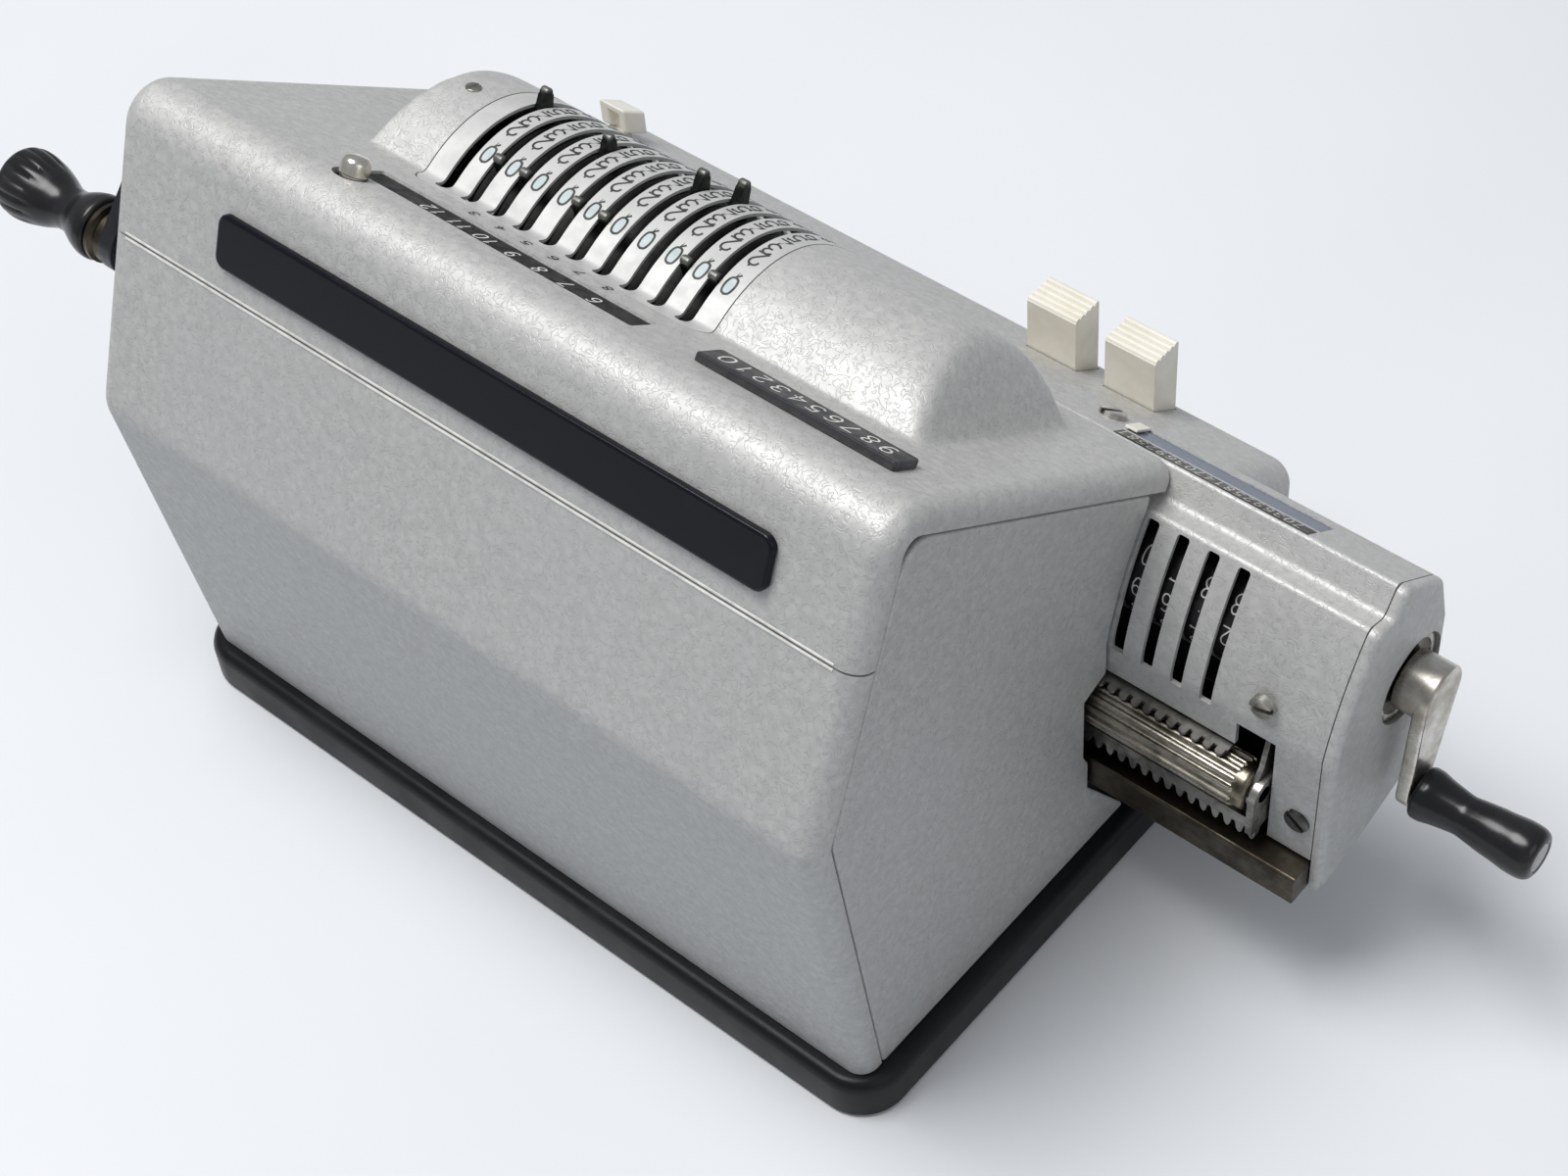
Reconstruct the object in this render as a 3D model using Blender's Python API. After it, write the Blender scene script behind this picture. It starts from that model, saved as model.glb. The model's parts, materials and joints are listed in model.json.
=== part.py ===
"""Desk calculating machine with a pinwheel rotor.

Frame: the origin is the centre of the base's underside, +Z is up, +Y points to the rear (the side
with the long nameplate) and +X to the right of a person who sits at the front. All sizes are metres.
Heights of the body are counted from the top of the base, and depths from the foot of the rear wall.
"""

import math

import bmesh
import bpy
import numpy as np
from mathutils import Vector

# Levers and the body round them
WHEEL_PITCH = 0.008
LEVER_COUNT = 10
RIGHT_MARGIN = 0.066
LEFT_MARGIN = 0.085
BASE_HEIGHT = 0.013
BASE_MARGIN = 0.0045
BASE_CORNER = 0.012
BASE_BEVEL = 0.0025
BASE_FLOOR = 0.003
BASE_RIM = 0.011
KNEE_HEIGHT = 0.0975
KNEE_REACH = 0.0105
KNEE_ROUND = 0.012
UPPER_LEAN = math.radians(22.6)
BROW_HEIGHT = 0.1084
TOP_TILT = math.radians(35.8)
TOP_LENGTH = 0.1156
SHOULDER_ROUND = 0.010
SEAM_DROP = 0.036
SHELL_WALL = 0.0016
SIDE_CORNER = 0.005
LIP_DEPTH = 0.0062
PANEL_WALL = 0.002
SEAT_GAP = 0.0003
RUNNING_GAP = 0.0009
CUT_OVERRUN = 0.004

# Hump of the top cover: its round back in the plane of the sloping top, and its two ends
HUMP_TO_BROW = 0.0445
HUMP_BELOW = 0.0135
HUMP_RADIUS = 0.0362
HUMP_RIGHT_MARGIN = 0.0255
HUMP_LEFT_MARGIN = 0.0635
HUMP_RIGHT_STEEP = math.radians(80)
HUMP_LEFT_STEEP = math.radians(66)
HUMP_CROWN_BLEND = 0.007
HUMP_FOOT_BLEND = 0.0016

# Setting slots and their plate
SLOT_WIDTH = 0.003
SLOT_BORDER = 0.0024
SLOT_PLATE_LEAD = 0.0019
SLOT_PLATE_MARGIN = 0.0075
BROW_BAND = 0.0046

# Rotor, its setting rings and the drive
ROTOR_AHEAD = 0.0022
ROTOR_BELOW = 0.0101
DISC_CLEARANCE = 0.0043
RING_DEPTH = 0.0052
RING_WIDTH = 0.0024
LEVER_REACH = 0.0098
LEVER_TIP = 0.0022
LEVER_ROOT = 0.0040
PIN_REACH = 0.0032
PIN_WIDTH = 0.0016
DIGIT_STEP = math.radians(8)
ZERO_ANGLE = math.radians(70.8)
SHOWN_DIGITS = (5, 0, 0, 4, 0, 0, 5, 6, 0, 0)
ROTOR_SHAFT_RADIUS = 0.004
SHAFT_OVERHANG = 0.004
FRAME_MARGIN = 0.018
LEFT_FRAME_MARGIN = 0.034
FRAME_WALL = 0.0025
BEARING_PLAY = 0.0003
GEAR_MODULE = 0.001
GEAR_WIDTH = 0.006
GEAR_MARGIN = 0.048
CRANK_TEETH = 14
IDLER_TEETH = 38
GEAR_BACKLASH = 0.00028
TRAIN_BEND = math.radians(27.2)
CRANK_BELOW = 0.0132
CRANK_SHAFT_RADIUS = 0.0035
STUD_RADIUS = 0.003

# Main crank
CRANK_ARM = 0.0325
CRANK_ARM_ANGLE = math.radians(-46)
CRANK_ARM_THICKNESS = 0.0045
CRANK_HUB_RADIUS = 0.0065
CRANK_HUB_LENGTH = 0.0079
CRANK_EYE_RADIUS = 0.0072
CRANK_PIN_RADIUS = 0.0025
COLLAR_RADIUS = 0.0076
COLLAR_LENGTH = 0.0050
GRIP_LENGTH = 0.032
GRIP_RADIUS = 0.0090

# Carriage: places behind (towards the rear) and below the cover's front edge, and its own lengths
CROWN_BEHIND = 0.0094
CROWN_DROP = 0.0058
VALLEY_AHEAD = 0.0057
VALLEY_DROP = 0.0018
PLATE_BEHIND = 0.0137
BEND_DROP = 0.0326
CARRIAGE_WALL = 0.0014
TOP_PLATE_GAP = 0.0010
TOP_PLATE_LENGTH = 0.0200
FRONT_PROUD = 0.0035
FRONT_BEND_DROP = 0.0140
FRONT_TALL = 0.0350
BELLY_BEHIND = 0.0065
BELLY_DROP = 0.0140
PLATE_CUT_DROP = 0.0105
ROLLER_DROP = 0.0090
ROLLER_PROUD = 0.0019
NOTCH_RISE = 0.0075
NOTCH_WIDE = 0.0104
NOTCH_MARGIN = 0.012
CARRIAGE_LEFT_MARGIN = 0.031
COUNTER_INSET = 0.014
PLATE_STEPS = 6

# Registers
NUMBER_RADIUS = 0.0132
NUMBER_GAP = 0.0014
WHEEL_CLEARANCE = 0.0006
REGISTER_SHAFT_RADIUS = 0.003
COUNTER_DIGITS = 6
RESULT_DIGITS = 13
WINDOW_WIDTH = 0.0085
WINDOW_START = 0.0068
READING_SLOT_WIDTH = 0.0032
READING_SLOT_FOOT = 0.0020
READING_SLOT_HEAD = 0.0014

# Fluted roller, comb rack and rail, one below the other
ROLLER_RADIUS = 0.0063
ROLLER_FLUTES = 14
FLUTE_DEPTH = 0.0012
ROLLER_LENGTH = 0.092
ROLLER_MARGIN = 0.013
AXLE_RADIUS = 0.0022
COMB_GAP = 0.0012
COMB_TALL = 0.0068
COMB_THICK = 0.0018
CHEEK_RIM = 0.0016
COMB_PROUD = 0.0049
COMB_PITCH = 0.0033
COMB_TOOTH = 0.0028
RAIL_GAP = 0.0039
RAIL_THICK = 0.009
RAIL_WIDE = 0.014
RAIL_PROUD = 0.0064
GUIDE_DEPTH = 0.0045

# End caps and clearing cranks
CAP_THICK = 0.0030
CAP_TOE = 0.0081
CLEAR_AHEAD = 0.0110
CLEAR_DROP = 0.0091
RECESS_RADIUS = 0.0118
RECESS_FLOOR = 0.0013
CLEAR_HUB_RADIUS = 0.0075
CLEAR_HUB_LENGTH = 0.0085
CLEAR_SHAFT_RADIUS = 0.003
CLEAR_SHAFT_REACH = 0.010
CLEAR_ARM = 0.0292
CLEAR_ARM_THICKNESS = 0.0036
CLEAR_ARM_WIDTH = 0.0095
CLEAR_PIN_RADIUS = 0.0018
CLEAR_GRIP_LENGTH = 0.0310
CLEAR_GRIP_RADIUS = 0.0066
LEFT_CLEAR_ANGLE = math.radians(-80)
RIGHT_CLEAR_ANGLE = math.radians(20)

# Front housing and keys
HOUSING_DEPTH = 0.0346
HOUSING_DROP = 0.0082
HOUSING_ROUND = 0.007
HOUSING_END_ROUND = 0.008
KEY_WIDTH = 0.0148
KEY_DEEP = 0.0096
KEY_RISE = 0.0178
KEY_TRAVEL = 0.006
KEY_SINK = 0.012
KEY_CLEARANCE = 0.0004
KEY_SETBACK = 0.0214
KEY_SPACING = 0.0236
KEY_OFFSET = 0.0378
KEY_RIB = 0.0009
KEY_RIBS = 5
T_KEY_INSET = 0.0131
T_KEY_SETBACK = 0.0171
T_KEY_WIDTH = 0.0130
T_KEY_DEEP = 0.0085
T_KEY_THICK = 0.0040
T_KEY_TRAVEL = 0.0020
T_KEY_CLEAR = 0.0012
T_STEM_WIDTH = 0.0055
T_STEM_DEEP = 0.0040

# Plates on the cover
NAMEPLATE_LENGTH = 0.1617
NAMEPLATE_SHIFT = 0.0064
NAMEPLATE_ABOVE_SEAM = 0.0065
NAMEPLATE_WIDE = 0.0134
NAMEPLATE_THICK = 0.0020
NAMEPLATE_CORNER = 0.0030
NAMEPLATE_BEVEL = 0.0008
STRIP_GAP = 0.0054
STRIP_WIDE = 0.0115
CHECK_START = 0.0180
CHECK_WIDE = 0.0095
CHECK_MARGIN = 0.0080
CHECK_BEYOND = 0.0020
CHECK_THICK = 0.0010
SCALE_MARGIN = 0.0075
SCALE_LENGTH = 0.0523
SCALE_WIDE = 0.0092
SCALE_THICK = 0.0030
SCALE_BEVEL = 0.0005
KNOB_START = 0.0106
KNOB_INSET = 0.0032
KNOB_RADIUS = 0.0034
KNOB_TALL = 0.0056
KNOB_SIDES = 12

# Places worked out from the sizes above: across the body first
HALF_WIDTH = (RIGHT_MARGIN + LEFT_MARGIN + WHEEL_PITCH * (LEVER_COUNT - 1)) / 2
UNITS_X = HALF_WIDTH - RIGHT_MARGIN
LEVER_X = [UNITS_X - WHEEL_PITCH * i for i in range(LEVER_COUNT)]
RESULT_X = [UNITS_X - WHEEL_PITCH * i for i in range(RESULT_DIGITS)]
COUNTER_X = [COUNTER_INSET - HALF_WIDTH - WHEEL_PITCH * i for i in range(COUNTER_DIGITS)]
HUMP_RIGHT_X = UNITS_X + HUMP_RIGHT_MARGIN
HUMP_LEFT_X = LEVER_X[-1] - HUMP_LEFT_MARGIN
RIGHT_FRAME_X = UNITS_X + FRAME_MARGIN
LEFT_FRAME_X = LEVER_X[-1] - LEFT_FRAME_MARGIN
GEAR_X = UNITS_X + GEAR_MARGIN
CARRIAGE_LEFT_X = COUNTER_X[-1] - CARRIAGE_LEFT_MARGIN
CARRIAGE_RIGHT_X = HALF_WIDTH + RUNNING_GAP
NOTCH_LEFT_X = CARRIAGE_LEFT_X + NOTCH_MARGIN
NOTCH_RIGHT_X = NOTCH_LEFT_X + NOTCH_WIDE
ROLLER_LEFT_X = COUNTER_X[-1] - ROLLER_MARGIN
ROLLER_RIGHT_X = ROLLER_LEFT_X + ROLLER_LENGTH
RECESS_DEEP = CAP_THICK - RECESS_FLOOR
CHECK_LEFT_X = LEVER_X[-1] - CHECK_BEYOND
CHECK_RIGHT_X = LEVER_X[0] + CHECK_MARGIN
SCALE_LEFT_X = HUMP_LEFT_X - SCALE_MARGIN
SCALE_RIGHT_X = SCALE_LEFT_X + SCALE_LENGTH
T_KEY_X = HALF_WIDTH - T_KEY_INSET

# Then along the sloping top, from the shoulder
HUMP_ALONG = TOP_LENGTH - HUMP_TO_BROW
HUMP_HALF = math.sqrt(HUMP_RADIUS**2 - HUMP_BELOW**2)
SLOT_PLATE_START = HUMP_ALONG - HUMP_HALF - SLOT_PLATE_LEAD
SLOT_PLATE_END = TOP_LENGTH - BROW_BAND
SLOT_START = SLOT_PLATE_START + SLOT_BORDER
SLOT_END = SLOT_PLATE_END - SLOT_BORDER
STRIP_START = SLOT_PLATE_START - STRIP_GAP - STRIP_WIDE
ROTOR_ALONG = HUMP_ALONG + ROTOR_AHEAD
ROTOR_OFFSET = math.hypot(ROTOR_AHEAD, HUMP_BELOW - ROTOR_BELOW)
DISC_RADIUS = HUMP_RADIUS - SHELL_WALL - ROTOR_OFFSET - DISC_CLEARANCE
RING_SEAT = DISC_RADIUS - RING_DEPTH
LEVER_RADIUS = DISC_RADIUS + LEVER_REACH
MESH_DISTANCE = GEAR_MODULE * (CRANK_TEETH + IDLER_TEETH) / 2
TRAIN_SPAN = 2 * MESH_DISTANCE * math.cos(TRAIN_BEND)
CRANK_ALONG = ROTOR_ALONG - math.sqrt(TRAIN_SPAN**2 - (CRANK_BELOW - ROTOR_BELOW) ** 2)

# Then in section, as (depth behind the rear wall's foot, height above the base)
SLOPE = Vector((-math.cos(TOP_TILT), -math.sin(TOP_TILT)))
ABOVE = Vector((-math.sin(TOP_TILT), math.cos(TOP_TILT)))
SHOULDER_HEIGHT = BROW_HEIGHT + TOP_LENGTH * math.sin(TOP_TILT)
KNEE = Vector((KNEE_REACH, KNEE_HEIGHT))
SHOULDER = Vector(
    (KNEE_REACH - (SHOULDER_HEIGHT - KNEE_HEIGHT) * math.tan(UPPER_LEAN), SHOULDER_HEIGHT)
)
SEAM_HEIGHT = SHOULDER_HEIGHT - SEAM_DROP
BROW = SHOULDER + SLOPE * TOP_LENGTH
CROWN = BROW + Vector((CROWN_BEHIND, -CROWN_DROP))
BEND = CROWN + Vector((PLATE_BEHIND, -BEND_DROP))
PLATE_CUT = BEND.y - PLATE_CUT_DROP
ROLLER = Vector((BEND.x + ROLLER_PROUD, PLATE_CUT - ROLLER_DROP))
COMB_HIGH = ROLLER.y - ROLLER_RADIUS - COMB_GAP
COMB_LOW = COMB_HIGH - COMB_TALL
COMB_REAR = BEND.x + COMB_PROUD
RAIL_TOP = COMB_LOW - RAIL_GAP
RAIL_REAR = BEND.x + RAIL_PROUD
RAIL_FLOOR = RAIL_TOP - RAIL_THICK
PLATE_FOOT = RAIL_TOP + COMB_GAP
TOP_PLATE_FRONT = BROW + SLOPE * (TOP_PLATE_GAP + TOP_PLATE_LENGTH)
FRONT_WALL = TOP_PLATE_FRONT.x - FRONT_PROUD
HOUSING_START = FRONT_WALL - RUNNING_GAP
BODY_FRONT = HOUSING_START - HOUSING_DEPTH
MIDDLE = BODY_FRONT / 2


def place(depth_back, height):
    """World (y, z) of a point given from the foot of the rear wall, +Y to the rear."""
    return (depth_back - MIDDLE, BASE_HEIGHT + height)


def on_top(along, above):
    """World (y, z) of a point given along the sloping top from the shoulder, and above that plane."""
    spot = SHOULDER + SLOPE * along + ABOVE * above
    return place(spot.x, spot.y)


def plate_curve(steps):
    """The carriage's rear plate between its bend and its crown, as (depth, height) points."""
    pull_shares = (0.27, 0.54)
    rise = CROWN - BEND
    pull = BEND + Vector((rise.x * pull_shares[0], rise.y * pull_shares[1]))
    spots = []
    for i in range(steps + 1):
        t = i / steps
        spots.append(BEND * (1 - t) ** 2 + pull * (2 * t * (1 - t)) + CROWN * t**2)
    return spots


def register_centre():
    """The number wheels lie close behind the curved plate, centred on its middle stretch."""
    before, middle, after = plate_curve(4)[1:4]
    run = (after - before).normalized()
    inward = Vector((-run.y, run.x))
    return middle + inward * (NUMBER_RADIUS + CARRIAGE_WALL + WHEEL_CLEARANCE)


REGISTER = register_centre()
CLEAR = REGISTER + Vector((-CLEAR_AHEAD, -CLEAR_DROP))
REAR_Y = place(0.0, 0.0)[0]
FRONT_Y = place(BODY_FRONT, 0.0)[0]
ROTOR_AXIS = on_top(ROTOR_ALONG, -ROTOR_BELOW)
CRANK_AXIS = on_top(CRANK_ALONG, -CRANK_BELOW)
REGISTER_AXIS = place(*REGISTER)
ROLLER_AXIS = place(*ROLLER)
CLEAR_AXIS = place(*CLEAR)


# Scene, materials and mesh helpers


def clear_scene():
    for item in list(bpy.data.objects):
        bpy.data.objects.remove(item, do_unlink=True)


def finish(name, colour, roughness, metallic):
    material = bpy.data.materials.new(name)
    material.use_nodes = True
    shader = material.node_tree.nodes["Principled BSDF"]
    shader.inputs["Base Color"].default_value = (*colour, 1.0)
    shader.inputs["Roughness"].default_value = roughness
    shader.inputs["Metallic"].default_value = metallic
    return material


def add_object(name, mesh, material, origin=(0.0, 0.0, 0.0), helper=False):
    """A named object whose mesh is written in world coordinates and whose origin is moved to a place."""
    offset = Vector(origin)
    for vertex in mesh.vertices:
        vertex.co -= offset
    thing = bpy.data.objects.new(name, mesh)
    thing.location = offset
    bpy.context.scene.collection.objects.link(thing)
    if material is not None:
        mesh.materials.append(material)
    if helper:
        thing.hide_render = True
        thing.display_type = "WIRE"
    return thing


def mesh_of(name, points, faces):
    mesh = bpy.data.meshes.new(name)
    mesh.from_pydata([tuple(p) for p in points], [], [tuple(f) for f in faces])
    work = bmesh.new()
    work.from_mesh(mesh)
    bmesh.ops.recalc_face_normals(work, faces=work.faces)
    work.to_mesh(mesh)
    work.free()
    mesh.validate()
    return mesh


def smooth(thing, angle=math.radians(32)):
    thing.data.shade_smooth()
    thing.data.set_sharp_from_angle(angle=angle)
    return thing


def prism_x(outline, x_low, x_high):
    """Points and faces of a (y, z) outline pushed along X."""
    count = len(outline)
    points = [(x_low, y, z) for y, z in outline] + [(x_high, y, z) for y, z in outline]
    faces = [tuple(range(count)), tuple(range(2 * count - 1, count - 1, -1))]
    for i in range(count):
        after = (i + 1) % count
        faces.append((i, after, count + after, count + i))
    return points, faces


def prism_z(outline, z_low, z_high):
    """Points and faces of an (x, y) outline pushed along Z."""
    count = len(outline)
    points = [(x, y, z_low) for x, y in outline] + [(x, y, z_high) for x, y in outline]
    faces = [tuple(range(count)), tuple(range(2 * count - 1, count - 1, -1))]
    for i in range(count):
        after = (i + 1) % count
        faces.append((i, after, count + after, count + i))
    return points, faces


def loft(rings, close_ends=True):
    """Points and faces through equal rings of points, closed at both ends or joined into a torus."""
    count = len(rings[0])
    points = [p for ring in rings for p in ring]
    faces = []
    last = len(rings) if not close_ends else len(rings) - 1
    for j in range(last):
        low = j * count
        high = ((j + 1) % len(rings)) * count
        for i in range(count):
            after = (i + 1) % count
            faces.append((low + i, low + after, high + after, high + i))
    if close_ends:
        faces.append(tuple(range(count)))
        faces.append(tuple(range((len(rings) - 1) * count, len(rings) * count)))
    return points, faces


def turn_x(profile, axis, sides, ends="closed"):
    """Points and faces of a profile of (x, radius) turned about an axis along X at (y, z).

    ends "closed" caps both ends, and "ring" joins the last point to the first, for a bored piece.
    """
    rings = []
    for x, radius in profile:
        ring = []
        for i in range(sides):
            angle = 2 * math.pi * i / sides
            ring.append(
                (x, axis[0] + radius * math.cos(angle), axis[1] + radius * math.sin(angle))
            )
        rings.append(ring)
    return loft(rings, close_ends=(ends == "closed"))


def join_shapes(shapes):
    """One list of points and faces from several, kept as separate bodies."""
    points, faces = [], []
    for some_points, some_faces in shapes:
        start = len(points)
        points += list(some_points)
        faces += [tuple(start + i for i in face) for face in some_faces]
    return points, faces


def helper_from(name, shape):
    return add_object(name, mesh_of(name, *shape), None, helper=True)


def boolean(thing, shape, operation, name):
    """Adds a Boolean with a hidden helper made of this shape."""
    tool = helper_from(f"{thing.name}_{name}", shape)
    modifier = thing.modifiers.new(name, "BOOLEAN")
    modifier.operation = operation
    modifier.solver = "EXACT"
    modifier.use_self = True
    modifier.object = tool
    return thing


def cut(thing, shape, name="cut"):
    return boolean(thing, shape, "DIFFERENCE", name)


def weld_on(thing, shape, name="boss"):
    return boolean(thing, shape, "UNION", name)


def arc(centre, radius, start, stop, steps):
    """Points on an arc in a plane, both ends included."""
    spots = []
    for i in range(steps + 1):
        angle = start + (stop - start) * i / steps
        spots.append(
            (centre[0] + radius * math.cos(angle), centre[1] + radius * math.sin(angle))
        )
    return spots


def filleted(path, radii, steps, closed=False):
    """An open or closed path with its corners rounded to these radii."""
    count = len(path)
    spots = []
    for i, (point, radius) in enumerate(zip(path, radii)):
        is_end = not closed and i in (0, count - 1)
        if radius <= 0 or is_end:
            spots.append(tuple(point))
            continue
        here = Vector(point)
        back = (Vector(path[i - 1]) - here).normalized()
        onward = (Vector(path[(i + 1) % count]) - here).normalized()
        half = back.angle(onward) / 2
        reach = radius / math.tan(half)
        start, stop = here + back * reach, here + onward * reach
        middle = here + (back + onward).normalized() * (radius / math.sin(half))
        first = math.atan2(start.y - middle.y, start.x - middle.x)
        last = math.atan2(stop.y - middle.y, stop.x - middle.x)
        turn = (last - first + math.pi) % (2 * math.pi) - math.pi
        spots += arc(middle, radius, first, first + turn, steps)
    return spots


def normals_of(path, closed=False):
    """Unit normals of a path, each scaled at a corner so that an offset keeps its distance."""
    count = len(path)
    found = []
    for i in range(count):
        here = Vector(path[i])
        before = Vector(path[i - 1]) if closed or i > 0 else None
        after = Vector(path[(i + 1) % count]) if closed or i < count - 1 else None
        sides = []
        if before is not None and (here - before).length > 0:
            sides.append((here - before).normalized())
        if after is not None and (after - here).length > 0:
            sides.append((after - here).normalized())
        normals = [Vector((side.y, -side.x)) for side in sides]
        if len(normals) == 1:
            found.append(normals[0])
            continue
        mean = (normals[0] + normals[1]).normalized()
        found.append(mean / mean.dot(normals[0]))
    return found


def offset_path(path, distance, closed=False):
    """The path moved to the right of its own direction by a distance."""
    return [
        tuple(Vector(p) + n * distance) for p, n in zip(path, normals_of(path, closed))
    ]


def rounded_rectangle(half_x, half_y, radius, steps):
    corners = [(half_x, -half_y), (half_x, half_y), (-half_x, half_y), (-half_x, -half_y)]
    return filleted(corners, [radius] * len(corners), steps, closed=True)


# Wrapped shells: a profile in (y, z) carried across the body, its ends turned round the corners


def across_body(inner, columns):
    """Stations across the body: (x, depth under the profile). inner moves them in by the wall.

    columns are the x places between the two corners.
    """
    radius = SIDE_CORNER - inner
    edge = HALF_WIDTH - inner
    centre = HALF_WIDTH - SIDE_CORNER
    corner_steps = 4
    left = [(-edge, LIP_DEPTH)]
    for i in range(corner_steps + 1):
        angle = math.pi / 2 * i / corner_steps
        left.append(
            (
                -centre - radius * math.cos(angle),
                SIDE_CORNER - radius * math.sin(angle),
            )
        )
    right = [(-x, depth) for x, depth in reversed(left)]
    return left + [(x, inner) for x in columns] + right


def wrapped_shell(profile, columns, height=None):
    """Points and faces of a shell: profile of (y, z) from the rear up and over, as seen from outside.

    height(x, i) raises the surface at column x and profile point i.
    """
    normals = normals_of(profile)
    grids = []
    outer = across_body(0.0, columns)
    rows = len(profile)
    cols = len(outer)
    lift = np.zeros((rows, cols))
    if height is not None:
        for i in range(rows):
            for j, (x, depth) in enumerate(outer):
                lift[i, j] = height(x, i) if depth <= 0 else 0.0
    for level, stations in enumerate((outer, across_body(SHELL_WALL, columns))):
        grid = np.zeros((rows, cols, 3))
        for i in range(rows):
            for j, (x, depth) in enumerate(stations):
                if level == 0 or lift[i, j] == 0.0:
                    under = depth - lift[i, j]
                    spot = Vector(profile[i]) - normals[i] * under
                    grid[i, j] = (x, spot.x, spot.y)
                else:
                    grid[i, j] = np.nan
        grids.append(grid)
    surface = grids[0]
    raised = surface_normals(surface, normals)
    hollow = np.isnan(grids[1][:, :, 0])
    grids[1][hollow] = (surface - SHELL_WALL * raised)[hollow]
    points = [tuple(p) for grid in grids for p in grid.reshape(-1, 3)]
    faces = []
    shift = rows * cols

    def at(level, i, j):
        return level * shift + i * cols + j

    for i in range(rows - 1):
        for j in range(cols - 1):
            faces.append((at(0, i, j), at(0, i, j + 1), at(0, i + 1, j + 1), at(0, i + 1, j)))
            faces.append((at(1, i, j), at(1, i + 1, j), at(1, i + 1, j + 1), at(1, i, j + 1)))
    for j in range(cols - 1):
        for i in (0, rows - 1):
            faces.append((at(0, i, j), at(0, i, j + 1), at(1, i, j + 1), at(1, i, j)))
    for i in range(rows - 1):
        for j in (0, cols - 1):
            faces.append((at(0, i, j), at(0, i + 1, j), at(1, i + 1, j), at(1, i, j)))
    return points, faces


def surface_normals(grid, outward):
    """Unit normals of a grid of points, on the side of each profile point's outward normal."""
    along = np.gradient(grid, axis=0)
    aside = np.gradient(grid, axis=1)
    normal = np.cross(aside, along)
    length = np.linalg.norm(normal, axis=2, keepdims=True)
    normal = normal / np.maximum(length, np.finfo(float).tiny)
    facing = np.array([(0.0, way.x, way.y) for way in outward])[:, None, :]
    side = np.sign(np.sum(normal * facing, axis=2, keepdims=True))
    return normal * side


def rear_profile():
    """The whole rear and top outline with its rounded knee and shoulder, from the foot upwards."""
    foot = place(0.0, SEAT_GAP)
    knee = place(*KNEE)
    shoulder = place(*SHOULDER)
    brow = on_top(TOP_LENGTH, 0.0)
    return [foot, knee, shoulder, brow]


def height_on_path(low, high, height):
    share = (height - low[1]) / (high[1] - low[1])
    return (low[0] + (high[0] - low[0]) * share, height)


# Body pieces


def make_base(material):
    half_x = HALF_WIDTH + BASE_MARGIN
    half_y = (REAR_Y - FRONT_Y) / 2 + BASE_MARGIN
    levels = (
        (0.0, BASE_BEVEL / 2),
        (BASE_BEVEL / 2, 0.0),
        (BASE_HEIGHT - BASE_BEVEL, 0.0),
        (BASE_HEIGHT, BASE_BEVEL),
    )
    rings = []
    for z, inset in levels:
        outline = rounded_rectangle(half_x - inset, half_y - inset, BASE_CORNER - inset, 5)
        rings.append([(x, y, z) for x, y in outline])
    base = add_object("base_tray", mesh_of("base_tray", *loft(rings)), material)
    pocket = rounded_rectangle(half_x - BASE_RIM, half_y - BASE_RIM, BASE_CORNER / 2, 3)
    cut(base, prism_z(pocket, BASE_FLOOR, BASE_HEIGHT + CUT_OVERRUN), "pocket")
    weld_on(base, carriage_guide(), "guide")
    return smooth(base)


def carriage_guide():
    """The channel along the base in which the carriage's rail slides."""
    play = SEAT_GAP
    low = BASE_FLOOR / 2
    rail_rear, rail_floor = place(RAIL_REAR, RAIL_FLOOR)
    cheek = FRAME_WALL
    rear_in, front_in = rail_rear + play, rail_rear - RAIL_WIDE - play
    lip = rail_floor + GUIDE_DEPTH
    outline = [
        (rear_in + cheek, low),
        (rear_in + cheek, lip),
        (rear_in, lip),
        (rear_in, rail_floor - play),
        (front_in, rail_floor - play),
        (front_in, lip),
        (front_in - cheek, lip),
        (front_in - cheek, low),
    ]
    reach = HALF_WIDTH - PANEL_WALL * 2
    return prism_x(outline, -reach, reach)


def make_rear_housing(material):
    foot, knee, shoulder, _ = rear_profile()
    seam = height_on_path(knee, shoulder, BASE_HEIGHT + SEAM_HEIGHT - SEAT_GAP / 2)
    path = filleted([foot, knee, seam], [0.0, KNEE_ROUND, 0.0], 4)
    shell = wrapped_shell(path, [])
    return smooth(add_object("rear_housing", mesh_of("rear_housing", *shell), material))


def hump_height(x, along):
    """Height of the hump over the sloping top: a round back, cut off and blended at both ends."""

    def soft_least(a, b, blend):
        return (a + b - math.sqrt((a - b) ** 2 + blend**2)) / 2

    def soft_most(a, b, blend):
        return (a + b + math.sqrt((a - b) ** 2 + blend**2)) / 2

    reach = along - HUMP_ALONG
    edge = HUMP_RADIUS**2 - reach**2
    steep = 3.0
    limit = HUMP_RADIUS * math.cos(math.asin(HUMP_BELOW / HUMP_RADIUS) / steep)
    if abs(reach) < limit:
        back = math.sqrt(edge) - HUMP_BELOW
    else:
        back = math.sqrt(HUMP_RADIUS**2 - limit**2) - HUMP_BELOW - steep * (abs(reach) - limit)
    left = (x - HUMP_LEFT_X) * math.tan(HUMP_LEFT_STEEP)
    right = (HUMP_RIGHT_X - x) * math.tan(HUMP_RIGHT_STEEP)
    ends = soft_least(left, right, HUMP_FOOT_BLEND)
    blend = HUMP_CROWN_BLEND if left < right else HUMP_FOOT_BLEND
    top = soft_least(back, ends, blend)
    rise = soft_most(top, 0.0, HUMP_FOOT_BLEND)
    floor = HUMP_FOOT_BLEND**2 / HUMP_RADIUS
    return max(rise - floor, 0.0) if rise > floor else 0.0


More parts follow.
